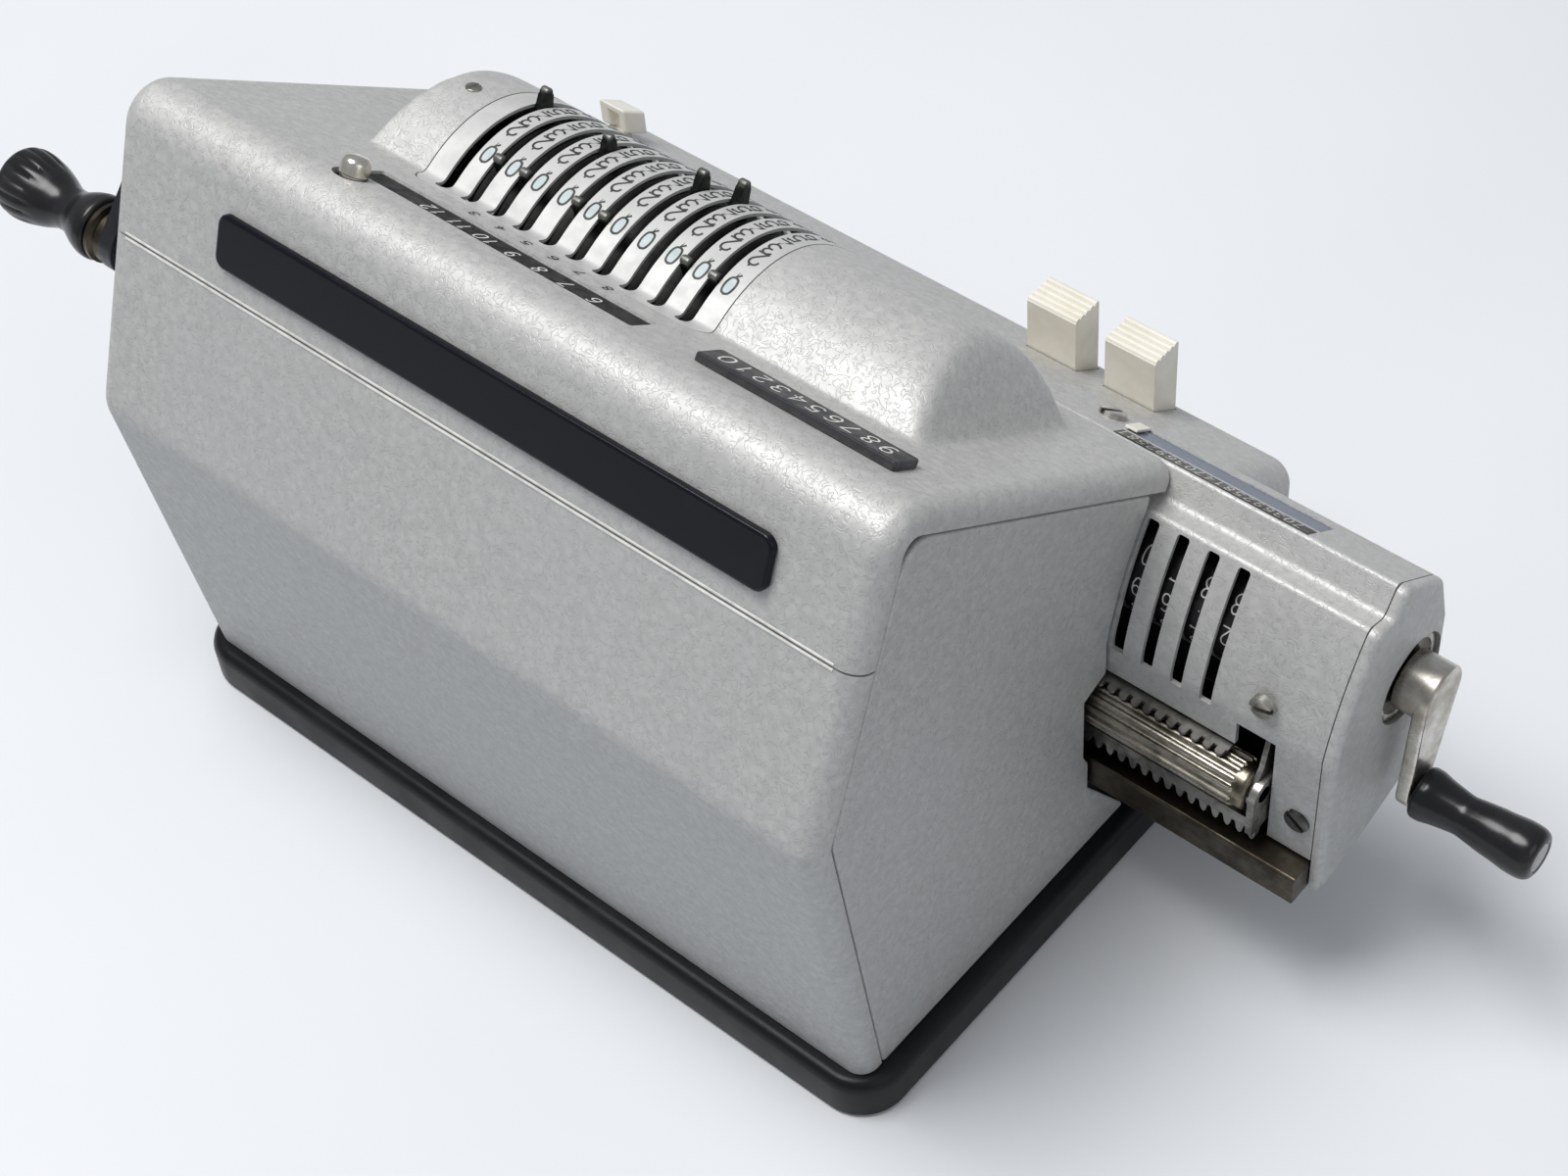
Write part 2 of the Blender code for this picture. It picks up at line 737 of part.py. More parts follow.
def hump_stations():
    """Distances along the top at which the cover is drawn: close together over the hump."""
    half_chord = math.sqrt(HUMP_RADIUS**2 - HUMP_BELOW**2)
    start, stop = HUMP_ALONG - half_chord, HUMP_ALONG + half_chord
    around = math.asin(half_chord / HUMP_RADIUS)
    steps = 10
    arcs = [HUMP_ALONG + HUMP_RADIUS * math.sin(-around + 2 * around * i / steps) for i in range(steps + 1)]
    foot_shares = (2.4, 0.9)
    feet = [start - HUMP_FOOT_BLEND * share for share in foot_shares]
    toes = [stop + HUMP_FOOT_BLEND * share for share in reversed(foot_shares)]
    return feet + arcs + toes


def hump_columns():
    left_shares = (-0.10, 0.04, 0.16, 0.30, 0.46, 0.64, 0.82, 1.05, 1.4)
    right_shares = (1.0, 0.55, 0.22, 0.05, -0.12)
    full = HUMP_RADIUS - HUMP_BELOW
    left = [HUMP_LEFT_X + full / math.tan(HUMP_LEFT_STEEP) * share for share in left_shares]
    right = [HUMP_RIGHT_X - full / math.tan(HUMP_RIGHT_STEEP) * share for share in right_shares]
    return left + right


def slot_plate_limits():
    low = LEVER_X[-1] - SLOT_PLATE_MARGIN
    high = LEVER_X[0] + SLOT_PLATE_MARGIN
    return low, high


def top_box(x_low, x_high, along_low, along_high, above_low, above_high):
    """A box square to the sloping top."""
    outline = [
        on_top(along_low, above_low),
        on_top(along_high, above_low),
        on_top(along_high, above_high),
        on_top(along_low, above_high),
    ]
    return prism_x(outline, x_low, x_high)


def top_outline(outline, above_low, above_high):
    """A prism square to the sloping top, of an outline in (x, along)."""
    count = len(outline)
    points = []
    for above in (above_low, above_high):
        for x, along in outline:
            y, z = on_top(along, above)
            points.append((x, y, z))
    faces = [tuple(range(count)), tuple(range(2 * count - 1, count - 1, -1))]
    for i in range(count):
        after = (i + 1) % count
        faces.append((i, after, count + after, count + i))
    return points, faces


def make_top_cover(material):
    _, knee, shoulder, brow = rear_profile()
    seam = height_on_path(knee, shoulder, BASE_HEIGHT + SEAM_HEIGHT + SEAT_GAP / 2)
    corner = filleted([seam, shoulder, brow], [0.0, SHOULDER_ROUND, 0.0], 5)
    stations = hump_stations()
    path = corner[:-1] + [on_top(along, 0.0) for along in stations] + [brow]
    first = len(corner) - 1

    def height(x, i):
        if first <= i < first + len(stations):
            return hump_height(x, stations[i - first])
        return 0.0

    shell = wrapped_shell(path, hump_columns(), height)
    cover = add_object("top_cover", mesh_of("top_cover", *shell), material)
    low, high = slot_plate_limits()
    opening = top_box(
        low - SEAT_GAP,
        high + SEAT_GAP,
        SLOT_PLATE_START - SEAT_GAP,
        SLOT_PLATE_END + SEAT_GAP,
        -HUMP_BELOW,
        HUMP_RADIUS,
    )
    window = top_outline(check_outline(SEAT_GAP), -SHELL_WALL * 2, SHELL_WALL)
    cut(cover, join_shapes([opening, window]), "openings")
    weld_on(cover, knob_shape(), "knob")
    return smooth(cover)


def make_slot_plate(material):
    """The curved plate with the ten setting slots, set into the hump."""
    stations = [SLOT_PLATE_START] + [
        along
        for along in hump_stations()
        if SLOT_PLATE_START + SEAT_GAP < along < SLOT_PLATE_END - SEAT_GAP
    ]
    stations.append(SLOT_PLATE_END)
    outer = [on_top(along, hump_height(0.0, along)) for along in stations]
    inner = offset_path(outer, -SHELL_WALL)
    low, high = slot_plate_limits()
    shape = prism_x(outer + inner[::-1], low, high)
    plate = add_object("slot_plate", mesh_of("slot_plate", *shape), material)
    slots = [
        top_box(
            x - SLOT_WIDTH / 2,
            x + SLOT_WIDTH / 2,
            SLOT_START,
            SLOT_END,
            -HUMP_BELOW,
            HUMP_RADIUS,
        )
        for x in LEVER_X
    ]
    cut(plate, join_shapes(slots), "slots")
    return smooth(plate)


def oblong(left, right, low, high):
    return [(left, low), (right, low), (right, high), (left, high)]


def check_outline(spread):
    """The check window's long strip in (x, along)."""
    return oblong(
        CHECK_LEFT_X - spread,
        CHECK_RIGHT_X + spread,
        CHECK_START - spread,
        CHECK_START + CHECK_WIDE + spread,
    )


def knob_shape():
    """The bright knob beside the check window, its foot set into the cover's wall."""
    middle = KNOB_START + KNOB_RADIUS
    rings = []
    for above in (-SHELL_WALL / 2, KNOB_TALL):
        ring = []
        for i in range(KNOB_SIDES):
            t = 2 * math.pi * i / KNOB_SIDES
            x = CHECK_RIGHT_X - KNOB_INSET + KNOB_RADIUS * math.cos(t)
            ring.append((x, *on_top(middle + KNOB_RADIUS * math.sin(t), above)))
        rings.append(ring)
    return loft(rings)


def make_check_window(material):
    shape = top_outline(check_outline(0.0), -SHELL_WALL, -SHELL_WALL + CHECK_THICK)
    return add_object("check_window", mesh_of("check_window", *shape), material)


def make_counter_scale(material):
    """The raised black bar beside the blank half of the hump, bevelled all round."""
    low, high = STRIP_START, STRIP_START + SCALE_WIDE
    rings = []
    for above, inset in (
        (SEAT_GAP, 0.0),
        (SCALE_THICK - SCALE_BEVEL / 2, 0.0),
        (SCALE_THICK, SCALE_BEVEL),
    ):
        left, right = SCALE_LEFT_X + inset, SCALE_RIGHT_X - inset
        outline = oblong(left, right, low + inset, high - inset)
        rings.append([(x, *on_top(along, above)) for x, along in outline])
    return add_object("counter_scale", mesh_of("counter_scale", *loft(rings)), material)


def make_nameplate(material):
    """The long plate on the rear face, bare, with rounded corners and a bevelled edge."""
    _, knee, shoulder, _ = rear_profile()
    foot = Vector(height_on_path(knee, shoulder, BASE_HEIGHT + SEAM_HEIGHT + NAMEPLATE_ABOVE_SEAM))
    rise = (Vector(shoulder) - Vector(knee)).normalized()
    outward = Vector((rise.y, -rise.x))
    half = NAMEPLATE_LENGTH / 2
    centre = -NAMEPLATE_SHIFT
    middle = foot + rise * (NAMEPLATE_WIDE / 2)
    rings = []
    for proud, inset in (
        (SEAT_GAP, 0.0),
        (NAMEPLATE_THICK - NAMEPLATE_BEVEL, 0.0),
        (NAMEPLATE_THICK, NAMEPLATE_BEVEL),
    ):
        outline = rounded_rectangle(
            half - inset, NAMEPLATE_WIDE / 2 - inset, NAMEPLATE_CORNER - inset, 4
        )
        ring = []
        for x, up in outline:
            spot = middle + rise * up + outward * proud
            ring.append((centre + x, spot.x, spot.y))
        rings.append(ring)
    return smooth(add_object("nameplate", mesh_of("nameplate", *loft(rings)), material))


def panel_outline():
    """Outline of an end panel: inside the wrapped rear and top, and clear of the carriage in front."""
    foot, knee, shoulder, brow = rear_profile()
    inset = LIP_DEPTH + SEAT_GAP
    inner = offset_path([foot, knee, shoulder, brow], -inset)
    inner[0] = (inner[0][0], foot[1])
    brow_in = on_top(TOP_LENGTH - LIP_DEPTH, -inset)
    rear_half = filleted(
        [inner[0], inner[1], inner[2], brow_in],
        [0.0, KNEE_ROUND, SHOULDER_ROUND - inset / 2, 0.0],
        4,
    )
    clearance = SEAT_GAP * 3
    roller_rear = ROLLER.x + ROLLER_RADIUS + clearance
    passing = offset_path(carriage_path(), clearance)
    crown_index = PLATE_STEPS + 1
    front = passing[crown_index:0:-1] + [
        place(BEND.x + clearance, ROLLER.y + ROLLER_RADIUS + CAP_THICK),
        place(roller_rear, ROLLER.y + ROLLER_RADIUS),
        place(roller_rear, COMB_LOW),
        place(RAIL_REAR + clearance, RAIL_TOP),
        place(RAIL_REAR + clearance, RAIL_FLOOR - clearance),
        place(RAIL_REAR - RAIL_WIDE, SEAT_GAP),
    ]
    return rear_half + front


def make_end_panel(name, side, material):
    inner_x = side * (HALF_WIDTH - PANEL_WALL)
    outer_x = side * HALF_WIDTH
    low, high = sorted((inner_x, outer_x))
    shape = prism_x(panel_outline(), low, high)
    panel = add_object(name, mesh_of(name, *shape), material)
    if side > 0:
        bore = turn_x(
            [
                (low - CUT_OVERRUN, CRANK_SHAFT_RADIUS + BEARING_PLAY),
                (high + CUT_OVERRUN, CRANK_SHAFT_RADIUS + BEARING_PLAY),
            ],
            CRANK_AXIS,
            16,
        )
        cut(panel, bore, "shaft_bore")
        stud_end = GEAR_X - GEAR_WIDTH / 2
        stud = turn_x([(stud_end, STUD_RADIUS), (low + PANEL_WALL / 2, STUD_RADIUS)], idler_axis(), 12)
        weld_on(panel, stud, "idler_stud")
    return smooth(panel)


def frame_outline():
    """Outline of an inner side frame, from the base's floor to under the cover."""
    under = SHELL_WALL + BEARING_PLAY * 4
    floor = BASE_FLOOR + SEAT_GAP
    rear = REAR_Y - KNEE_REACH
    front, crown = place(ROLLER.x + ROLLER_RADIUS + SEAT_GAP * 4, CROWN.y)
    boss = DISC_RADIUS / 2
    return [
        (rear, floor),
        (rear, BASE_HEIGHT + KNEE_HEIGHT),
        on_top(KNEE_REACH, -under * 2),
        on_top(ROTOR_ALONG + boss / 2, -under),
        on_top(ROTOR_ALONG + boss, -ROTOR_BELOW),
        (front, crown),
        (front, floor),
    ]


def make_side_frame(name, side, material):
    centre = RIGHT_FRAME_X if side > 0 else LEFT_FRAME_X
    low, high = centre - FRAME_WALL / 2, centre + FRAME_WALL / 2
    frame = add_object(name, mesh_of(name, *prism_x(frame_outline(), low, high)), material)
    reach = CUT_OVERRUN
    bores = [
        turn_x(
            [
                (low - reach, ROTOR_SHAFT_RADIUS + BEARING_PLAY),
                (high + reach, ROTOR_SHAFT_RADIUS + BEARING_PLAY),
            ],
            ROTOR_AXIS,
            20,
        )
    ]
    if side > 0:
        bores.append(
            turn_x(
                [
                    (low - reach, CRANK_SHAFT_RADIUS + BEARING_PLAY),
                    (high + reach, CRANK_SHAFT_RADIUS + BEARING_PLAY),
                ],
                CRANK_AXIS,
                16,
            )
        )
    cut(frame, join_shapes(bores), "bores")
    return smooth(frame)


# Gears


def gear_outline(teeth, centre, phase):
    """Outline in (y, z) of a spur gear with straight flanks, a tooth centred on the phase angle."""
    pitch_radius = GEAR_MODULE * teeth / 2
    tip = pitch_radius + GEAR_MODULE * 0.92
    root = pitch_radius - GEAR_MODULE * 1.2
    lean = math.tan(math.radians(20))
    half_tooth = math.pi * GEAR_MODULE / 4 - GEAR_BACKLASH / 2
    flank = []
    for r in (root, tip):
        half_width = half_tooth - (r - pitch_radius) * lean
        flank.append((r, half_width / r))
    spots = []
    for i in range(teeth):
        middle = phase + 2 * math.pi * i / teeth
        for r, half in flank:
            spots.append((r, middle - half))
        for r, half in reversed(flank):
            spots.append((r, middle + half))
    return [
        (centre[0] + r * math.cos(a), centre[1] + r * math.sin(a)) for r, a in spots
    ]


def idler_axis():
    """The idler meets the crank's gear and the rotor's gear, and lies under the line between them."""
    crank, rotor = Vector(CRANK_AXIS), Vector(ROTOR_AXIS)
    half = (rotor - crank) / 2
    mesh_distance = GEAR_MODULE * (CRANK_TEETH + IDLER_TEETH) / 2
    drop = math.sqrt(mesh_distance**2 - half.length_squared)
    down = Vector((-half.y, half.x)).normalized()
    if down.y > 0:
        down = -down
    spot = crank + half + down * drop
    return (spot.x, spot.y)


def mesh_phase(small_axis):
    """Phase of a small gear that has a tooth in the idler's gap on the line to the idler."""
    line = Vector(idler_axis()) - Vector(small_axis)
    return math.atan2(line.y, line.x)


def idler_phases():
    """Directions from the idler to both small gears, and the part of a tooth by which they differ."""
    found = []
    for axis in (CRANK_AXIS, ROTOR_AXIS):
        line = Vector(axis) - Vector(idler_axis())
        found.append(math.atan2(line.y, line.x))
    return found


def gear_prism(teeth, centre, phase):
    return prism_x(
        gear_outline(teeth, centre, phase), GEAR_X - GEAR_WIDTH / 2, GEAR_X + GEAR_WIDTH / 2
    )


def small_gear_phase(which):
    """The idler has a gap on the line to the crank gear. The rotor's gear is turned to suit its own."""
    to_crank, to_rotor = idler_phases()
    gap = to_crank
    if which == "crank":
        return mesh_phase(CRANK_AXIS)
    pitch = 2 * math.pi / IDLER_TEETH
    ahead = (to_rotor - gap) / pitch
    off_gap = ahead - round(ahead)
    turn = off_gap * IDLER_TEETH / CRANK_TEETH * pitch
    return mesh_phase(ROTOR_AXIS) + turn


def make_idler(material):
    to_crank, _ = idler_phases()
    phase = to_crank + math.pi / IDLER_TEETH
    centre = idler_axis()
    gear = add_object(
        "idler_gear",
        mesh_of("idler_gear", *gear_prism(IDLER_TEETH, centre, phase)),
        material,
        origin=(GEAR_X, *centre),
    )
    bore_radius = STUD_RADIUS + BEARING_PLAY
    low, high = GEAR_X - GEAR_WIDTH, GEAR_X + GEAR_WIDTH
    cut(gear, turn_x([(low, bore_radius), (high, bore_radius)], centre, 16), "bore")
    return smooth(gear)


# Rotor and setting rings


def make_rotor(material):
    """Shaft, ten discs with a shoulder each for a setting ring, the pins that are out, and a gear."""
    left = LEFT_FRAME_X - FRAME_WALL - SHAFT_OVERHANG
    right = GEAR_X + GEAR_WIDTH
    slack = BEARING_PLAY
    profile = [(left, ROTOR_SHAFT_RADIUS)]
    for x in sorted(LEVER_X):
        ring_low = x - RING_WIDTH / 2 - slack
        ring_high = x + RING_WIDTH / 2 + slack
        disc_high = x + WHEEL_PITCH - RING_WIDTH / 2 - slack
        if x == min(LEVER_X):
            profile += [(ring_low - PIN_REACH, ROTOR_SHAFT_RADIUS), (ring_low - PIN_REACH, DISC_RADIUS)]
            profile.append((ring_low, DISC_RADIUS))
        profile += [
            (ring_low, RING_SEAT),
            (ring_high, RING_SEAT),
            (ring_high, DISC_RADIUS),
            (disc_high, DISC_RADIUS),
        ]
    profile += [(profile[-1][0], ROTOR_SHAFT_RADIUS), (right, ROTOR_SHAFT_RADIUS)]
    rotor = add_object(
        "pinwheel_rotor",
        mesh_of("pinwheel_rotor", *turn_x(profile, ROTOR_AXIS, 16)),
        material,
        origin=(0.0, *ROTOR_AXIS),
    )
    weld_on(rotor, rotor_pins(), "pins")
    gear = gear_prism(CRANK_TEETH, ROTOR_AXIS, small_gear_phase("rotor"))
    weld_on(rotor, gear, "gear")
    return smooth(rotor)


def rotor_pins():
    """The pins that stand out of each disc's rim: as many as the digit its lever is set to."""
    shapes = []
    for x, digit in zip(LEVER_X, SHOWN_DIGITS):
        centre_x = x + WHEEL_PITCH / 2
        for k in range(digit):
            angle = ZERO_ANGLE + math.pi + DIGIT_STEP * k
            radial = Vector((math.cos(angle), math.sin(angle)))
            aside = Vector((-radial.y, radial.x)) * (PIN_WIDTH / 2)
            axis = Vector(ROTOR_AXIS)
            near = axis + radial * (RING_SEAT + PIN_WIDTH)
            far = axis + radial * (DISC_RADIUS + PIN_REACH)
            outline = [tuple(near - aside), tuple(far - aside), tuple(far + aside), tuple(near + aside)]
            shapes.append(prism_x(outline, centre_x - PIN_WIDTH, centre_x + PIN_WIDTH))
    return join_shapes(shapes)


def make_setting_ring(index, material):
    """A ring on the rotor's shoulder with the lever that a finger moves along its slot."""
    x = LEVER_X[index]
    angle = ZERO_ANGLE + DIGIT_STEP * SHOWN_DIGITS[index]
    outer = DISC_RADIUS
    root = LEVER_ROOT / 2 / outer
    tip = LEVER_TIP / 2 / LEVER_RADIUS
    steps = 10
    start, stop = angle + root * 2, angle + 2 * math.pi - root * 2
    stations = [(start + (stop - start) * i / steps, outer) for i in range(steps + 1)]
    stations += [
        (angle + 2 * math.pi - root, outer + LEVER_TIP / 2),
        (angle + 2 * math.pi - tip, LEVER_RADIUS - LEVER_TIP / 2),
        (angle + 2 * math.pi - tip / 2, LEVER_RADIUS),
        (angle + 2 * math.pi + tip / 2, LEVER_RADIUS),
        (angle + 2 * math.pi + tip, LEVER_RADIUS - LEVER_TIP / 2),
        (angle + 2 * math.pi + root, outer + LEVER_TIP / 2),
    ]
    low, high = x - RING_WIDTH / 2, x + RING_WIDTH / 2
    bore_radius = (RING_SEAT + BEARING_PLAY) / math.cos((stop - start) / steps / 2)
    rings = []
    for turn, radius in stations:
        edge = (
            ROTOR_AXIS[0] + radius * math.cos(turn),
            ROTOR_AXIS[1] + radius * math.sin(turn),
        )
        bore = (
            ROTOR_AXIS[0] + bore_radius * math.cos(turn),
            ROTOR_AXIS[1] + bore_radius * math.sin(turn),
        )
        rings.append([(low, *bore), (low, *edge), (high, *edge), (high, *bore)])
    name = f"setting_lever_{index + 1:02d}"
    ring = add_object(
        name, mesh_of(name, *loft(rings, close_ends=False)), material, origin=(x, *ROTOR_AXIS)
    )
    return smooth(ring)


# Cranks


def crank_shape(axis, direction, arm, widths, x_low, x_high):
    """A flat arm from a hub to an eye, its outline tapering between two round ends."""
    hub_radius, eye_radius = widths
    lean = math.asin((hub_radius - eye_radius) / arm)
    start = direction + math.pi / 2 - lean
    stop = direction + 3 * math.pi / 2 + lean
    eye = (axis[0] + arm * math.cos(direction), axis[1] + arm * math.sin(direction))
    outline = arc(axis, hub_radius, start, stop, 8)
    outline += arc(eye, eye_radius, stop, stop + math.pi - 2 * lean, 8)
    return prism_x(outline, x_low, x_high), eye


def grip_profile(length, radius, waist, foot, side, x_start):
    """Turned outline of a grip, (x, radius): foot, waist and a fat rounded end."""
    shares = (
        (0.00, 0.86),
        (0.03, 1.00),
        (0.09, 1.02),
        (0.17, 0.92),
    )
    bead = [(x_start + side * length * a, foot * b) for a, b in shares]
    waist_at, fat_at, end_at = 0.34, 0.66, 0.93
    swell = [
        (x_start + side * length * waist_at, waist),
        (x_start + side * length * (waist_at + fat_at) / 2, (waist + radius) / 2),
        (x_start + side * length * fat_at, radius),
        (x_start + side * length * end_at, radius * 0.98),
        (x_start + side * length * 0.985, radius * 0.90),
        (x_start + side * length, radius * 0.74),
    ]
    return bead + swell


def bored_grip(name, axis, side, x_start, length, radius, waist, foot, bore, bore_depth, material, sides):
    profile = grip_profile(length, radius, waist, foot, side, x_start)
    well = x_start + side * bore_depth
    closed = profile + [(profile[-1][0], 0.0)]
    centre = [(well, 0.0), (well, bore), (x_start, bore)]
    rings = [(x, r) for x, r in closed[:-1]]
    outer = turn_x(rings, axis, sides)
    grip = add_object(name, mesh_of(name, *outer), material, origin=(x_start, *axis))
    hole = turn_x([(centre[0][0], bore), (x_start - side * CUT_OVERRUN, bore)], axis, 12)
    cut(grip, hole, "bore")
    return smooth(grip)


def make_main_crank(arm_material, grip_material, steel):
    """Crank arm with its hub outside, its shaft and gear inside, and the grip that turns on it."""
    face = HALF_WIDTH + SEAT_GAP * 2
    arm_low = face + CRANK_HUB_LENGTH - CRANK_ARM_THICKNESS
    arm_high = face + CRANK_HUB_LENGTH
    shape, eye = crank_shape(
        CRANK_AXIS,
        CRANK_ARM_ANGLE,
        CRANK_ARM,
        (CRANK_HUB_RADIUS + BEARING_PLAY * 2, CRANK_EYE_RADIUS),
        arm_low,
        arm_high,
    )
    arm = add_object("crank_arm", mesh_of("crank_arm", *shape), arm_material, origin=(face, *CRANK_AXIS))
    hub = turn_x(
        [(face, CRANK_HUB_RADIUS), (arm_high - CRANK_ARM_THICKNESS / 2, CRANK_HUB_RADIUS)], CRANK_AXIS, 20
    )
    weld_on(arm, hub, "hub")
    shaft_left = RIGHT_FRAME_X - FRAME_WALL - SHAFT_OVERHANG
    shaft = turn_x(
        [(shaft_left, CRANK_SHAFT_RADIUS), (face + CRANK_HUB_LENGTH / 2, CRANK_SHAFT_RADIUS)],
        CRANK_AXIS,
        16,
    )
    weld_on(arm, shaft, "shaft")
    weld_on(arm, gear_prism(CRANK_TEETH, CRANK_AXIS, small_gear_phase("crank")), "gear")
    collar_end = arm_high + COLLAR_LENGTH
    pin_end = collar_end + GRIP_LENGTH * 0.7
    collar = turn_x(
        [
            (arm_high - CRANK_ARM_THICKNESS / 2, COLLAR_RADIUS * 0.93),
            (collar_end - COLLAR_LENGTH / 4, COLLAR_RADIUS),
            (collar_end, COLLAR_RADIUS * 0.95),
        ],
        eye,
        20,
    )
    weld_on(arm, collar, "collar")
    pin = turn_x([(arm_high, CRANK_PIN_RADIUS), (pin_end, CRANK_PIN_RADIUS)], eye, 12)
    weld_on(arm, pin, "pin")
    smooth(arm)
    bored_grip(
        "crank_grip",
        eye,
        1,
        collar_end + SEAT_GAP,
        GRIP_LENGTH,
        GRIP_RADIUS,
        GRIP_RADIUS * 0.61,
        COLLAR_RADIUS * 1.08,
        CRANK_PIN_RADIUS + BEARING_PLAY,
        GRIP_LENGTH * 0.7 + BEARING_PLAY,
        grip_material,
        20,
    )
    return eye


def make_clearing_crank(prefix, side, cap_face, angle, metal, grip_material):
    """A short crank at one end of the carriage, with its grip."""
    hub_start = cap_face - side * RECESS_DEEP / 2
    hub_end = cap_face + side * CLEAR_HUB_LENGTH
    arm_inner = hub_end - side * CLEAR_ARM_THICKNESS
    shape, eye = crank_shape(
        CLEAR_AXIS,
        angle,
        CLEAR_ARM,
        (CLEAR_HUB_RADIUS, CLEAR_ARM_WIDTH / 2),
        min(arm_inner, hub_end),
        max(arm_inner, hub_end),
    )
    name = f"{prefix}_clearing_crank"
    crank = add_object(name, mesh_of(name, *shape), metal, origin=(cap_face, *CLEAR_AXIS))
    hub = turn_x(
        [(hub_start, CLEAR_HUB_RADIUS), (hub_end - side * CLEAR_ARM_THICKNESS / 2, CLEAR_HUB_RADIUS)],
        CLEAR_AXIS,
        20,
    )
    weld_on(crank, hub, "hub")
    shaft = turn_x(
        [
            (cap_face - side * CLEAR_SHAFT_REACH, CLEAR_SHAFT_RADIUS),
            (cap_face + side * CLEAR_SHAFT_RADIUS, CLEAR_SHAFT_RADIUS),
        ],
        CLEAR_AXIS,
        12,
    )
    weld_on(crank, shaft, "shaft")
    pin_end = hub_end + side * CLEAR_GRIP_LENGTH * 0.7
    pin = turn_x(
        [(arm_inner + side * CLEAR_ARM_THICKNESS / 2, CLEAR_PIN_RADIUS), (pin_end, CLEAR_PIN_RADIUS)],
        eye,
        10,
    )
    weld_on(crank, pin, "pin")
    smooth(crank)
    bored_grip(
        f"{prefix}_clearing_grip",
        eye,
        side,
        hub_end + side * SEAT_GAP,
        CLEAR_GRIP_LENGTH,
        CLEAR_GRIP_RADIUS,
        CLEAR_GRIP_RADIUS * 0.76,
        CLEAR_GRIP_RADIUS * 0.98,
        CLEAR_PIN_RADIUS + BEARING_PLAY,
        CLEAR_GRIP_LENGTH * 0.7 + BEARING_PLAY,
        grip_material,
        16,
    )


# Carriage


def carriage_path():
    """Outer outline of the carriage from the rear plate's foot up over the top and down the front."""
    foot = place(BEND.x, PLATE_FOOT)
    curve = [place(*spot) for spot in plate_curve(PLATE_STEPS)]
    valley = place(CROWN.x - VALLEY_AHEAD, CROWN.y - VALLEY_DROP)
    start = TOP_LENGTH + TOP_PLATE_GAP
    top = [on_top(start, 0.0), on_top(start + TOP_PLATE_LENGTH, 0.0)]
    front_bend = TOP_PLATE_FRONT.y - FRONT_BEND_DROP
    front_low = front_bend - FRONT_TALL
    front = [
        place(FRONT_WALL, front_bend),
        place(FRONT_WALL, front_low),
        place(FRONT_WALL + BELLY_BEHIND, front_low - BELLY_DROP),
    ]
    return [foot] + curve + [valley] + top + front


def reading_slot(low_x, high_x):
    """A cutter through the curved rear plate, its top end round, that stops short of the top plate."""
    behind = place(BEND.x + CUT_OVERRUN, 0.0)[0]
    round_end = READING_SLOT_WIDTH / 2
    foot = BEND.y - READING_SLOT_FOOT
    head = CROWN.y - READING_SLOT_HEAD
    levels = [(foot, 0.0, BEND.x)]
    for spot in plate_curve(PLATE_STEPS)[1:]:
        if spot.y < head - round_end:
            levels.append((spot.y, 0.0, spot.x))
    run = CROWN - plate_curve(PLATE_STEPS)[-2]
    for turn in (0.0, 30.0, 55.0, 75.0):
        angle = math.radians(turn)
        height = head - round_end * (1 - math.sin(angle))
        inset = round_end * (1 - math.cos(angle))
        levels.append((height, inset, CROWN.x + run.x * (height - CROWN.y) / run.y))
    rings = []
    for height, inset, depth in levels:
        front, z = place(depth - CARRIAGE_WALL * 2, height)
        left, right = low_x + inset, high_x - inset
        rings.append([(left, behind, z), (right, behind, z), (right, front, z), (left, front, z)])
    return loft(rings)


def make_carriage_cover(material):
    path = carriage_path()
    inner = offset_path(path, -CARRIAGE_WALL)
    low = CARRIAGE_LEFT_X + SEAT_GAP
    high = CARRIAGE_RIGHT_X - SEAT_GAP
    shape = prism_x(path + inner[::-1], low, high)
    cover = add_object("carriage_cover", mesh_of("carriage_cover", *shape), material)

    def plate_box(x_low, x_high, height_low, height_high):
        behind, low_z = place(BEND.x + CUT_OVERRUN, height_low)
        before, high_z = place(BEND.x - CUT_OVERRUN, height_high)
        outline = [(behind, low_z), (behind, high_z), (before, high_z), (before, low_z)]
        return prism_x(outline, x_low, x_high)

    step = CARRIAGE_WALL / 2
    opening_right = CARRIAGE_RIGHT_X - CAP_THICK * 2
    opening = plate_box(NOTCH_LEFT_X, opening_right, PLATE_FOOT - CUT_OVERRUN, PLATE_CUT)
    notch = plate_box(NOTCH_LEFT_X, NOTCH_RIGHT_X, PLATE_CUT - step, PLATE_CUT + NOTCH_RISE)
    half = READING_SLOT_WIDTH / 2
    slots = [reading_slot(x - half, x + half) for x in COUNTER_X]
    slots.append(reading_slot(min(RESULT_X) - WHEEL_PITCH / 2, max(RESULT_X) + WHEEL_PITCH / 2))
    cut(cover, opening, "roller_opening")
    cut(cover, notch, "roller_notch")
    cut(cover, join_shapes(slots), "reading_slots")
    start = TOP_LENGTH + TOP_PLATE_GAP + WINDOW_START
    windows = []
    for places in (COUNTER_X, RESULT_X):
        windows.append(
            top_box(
                min(places) - WHEEL_PITCH,
                max(places) + WHEEL_PITCH / 2,
                start,
                start + WINDOW_WIDTH,
                -CARRIAGE_WALL * 2,
                CARRIAGE_WALL,
            )
        )
    cut(cover, join_shapes(windows), "windows")
    return smooth(cover)


def cap_outline():
    """The carriage's outline closed below, down to the rail."""
    path = carriage_path()
    path[0] = place(BEND.x, RAIL_FLOOR)
    return path + [place(BEND.x - CAP_TOE, RAIL_FLOOR)]


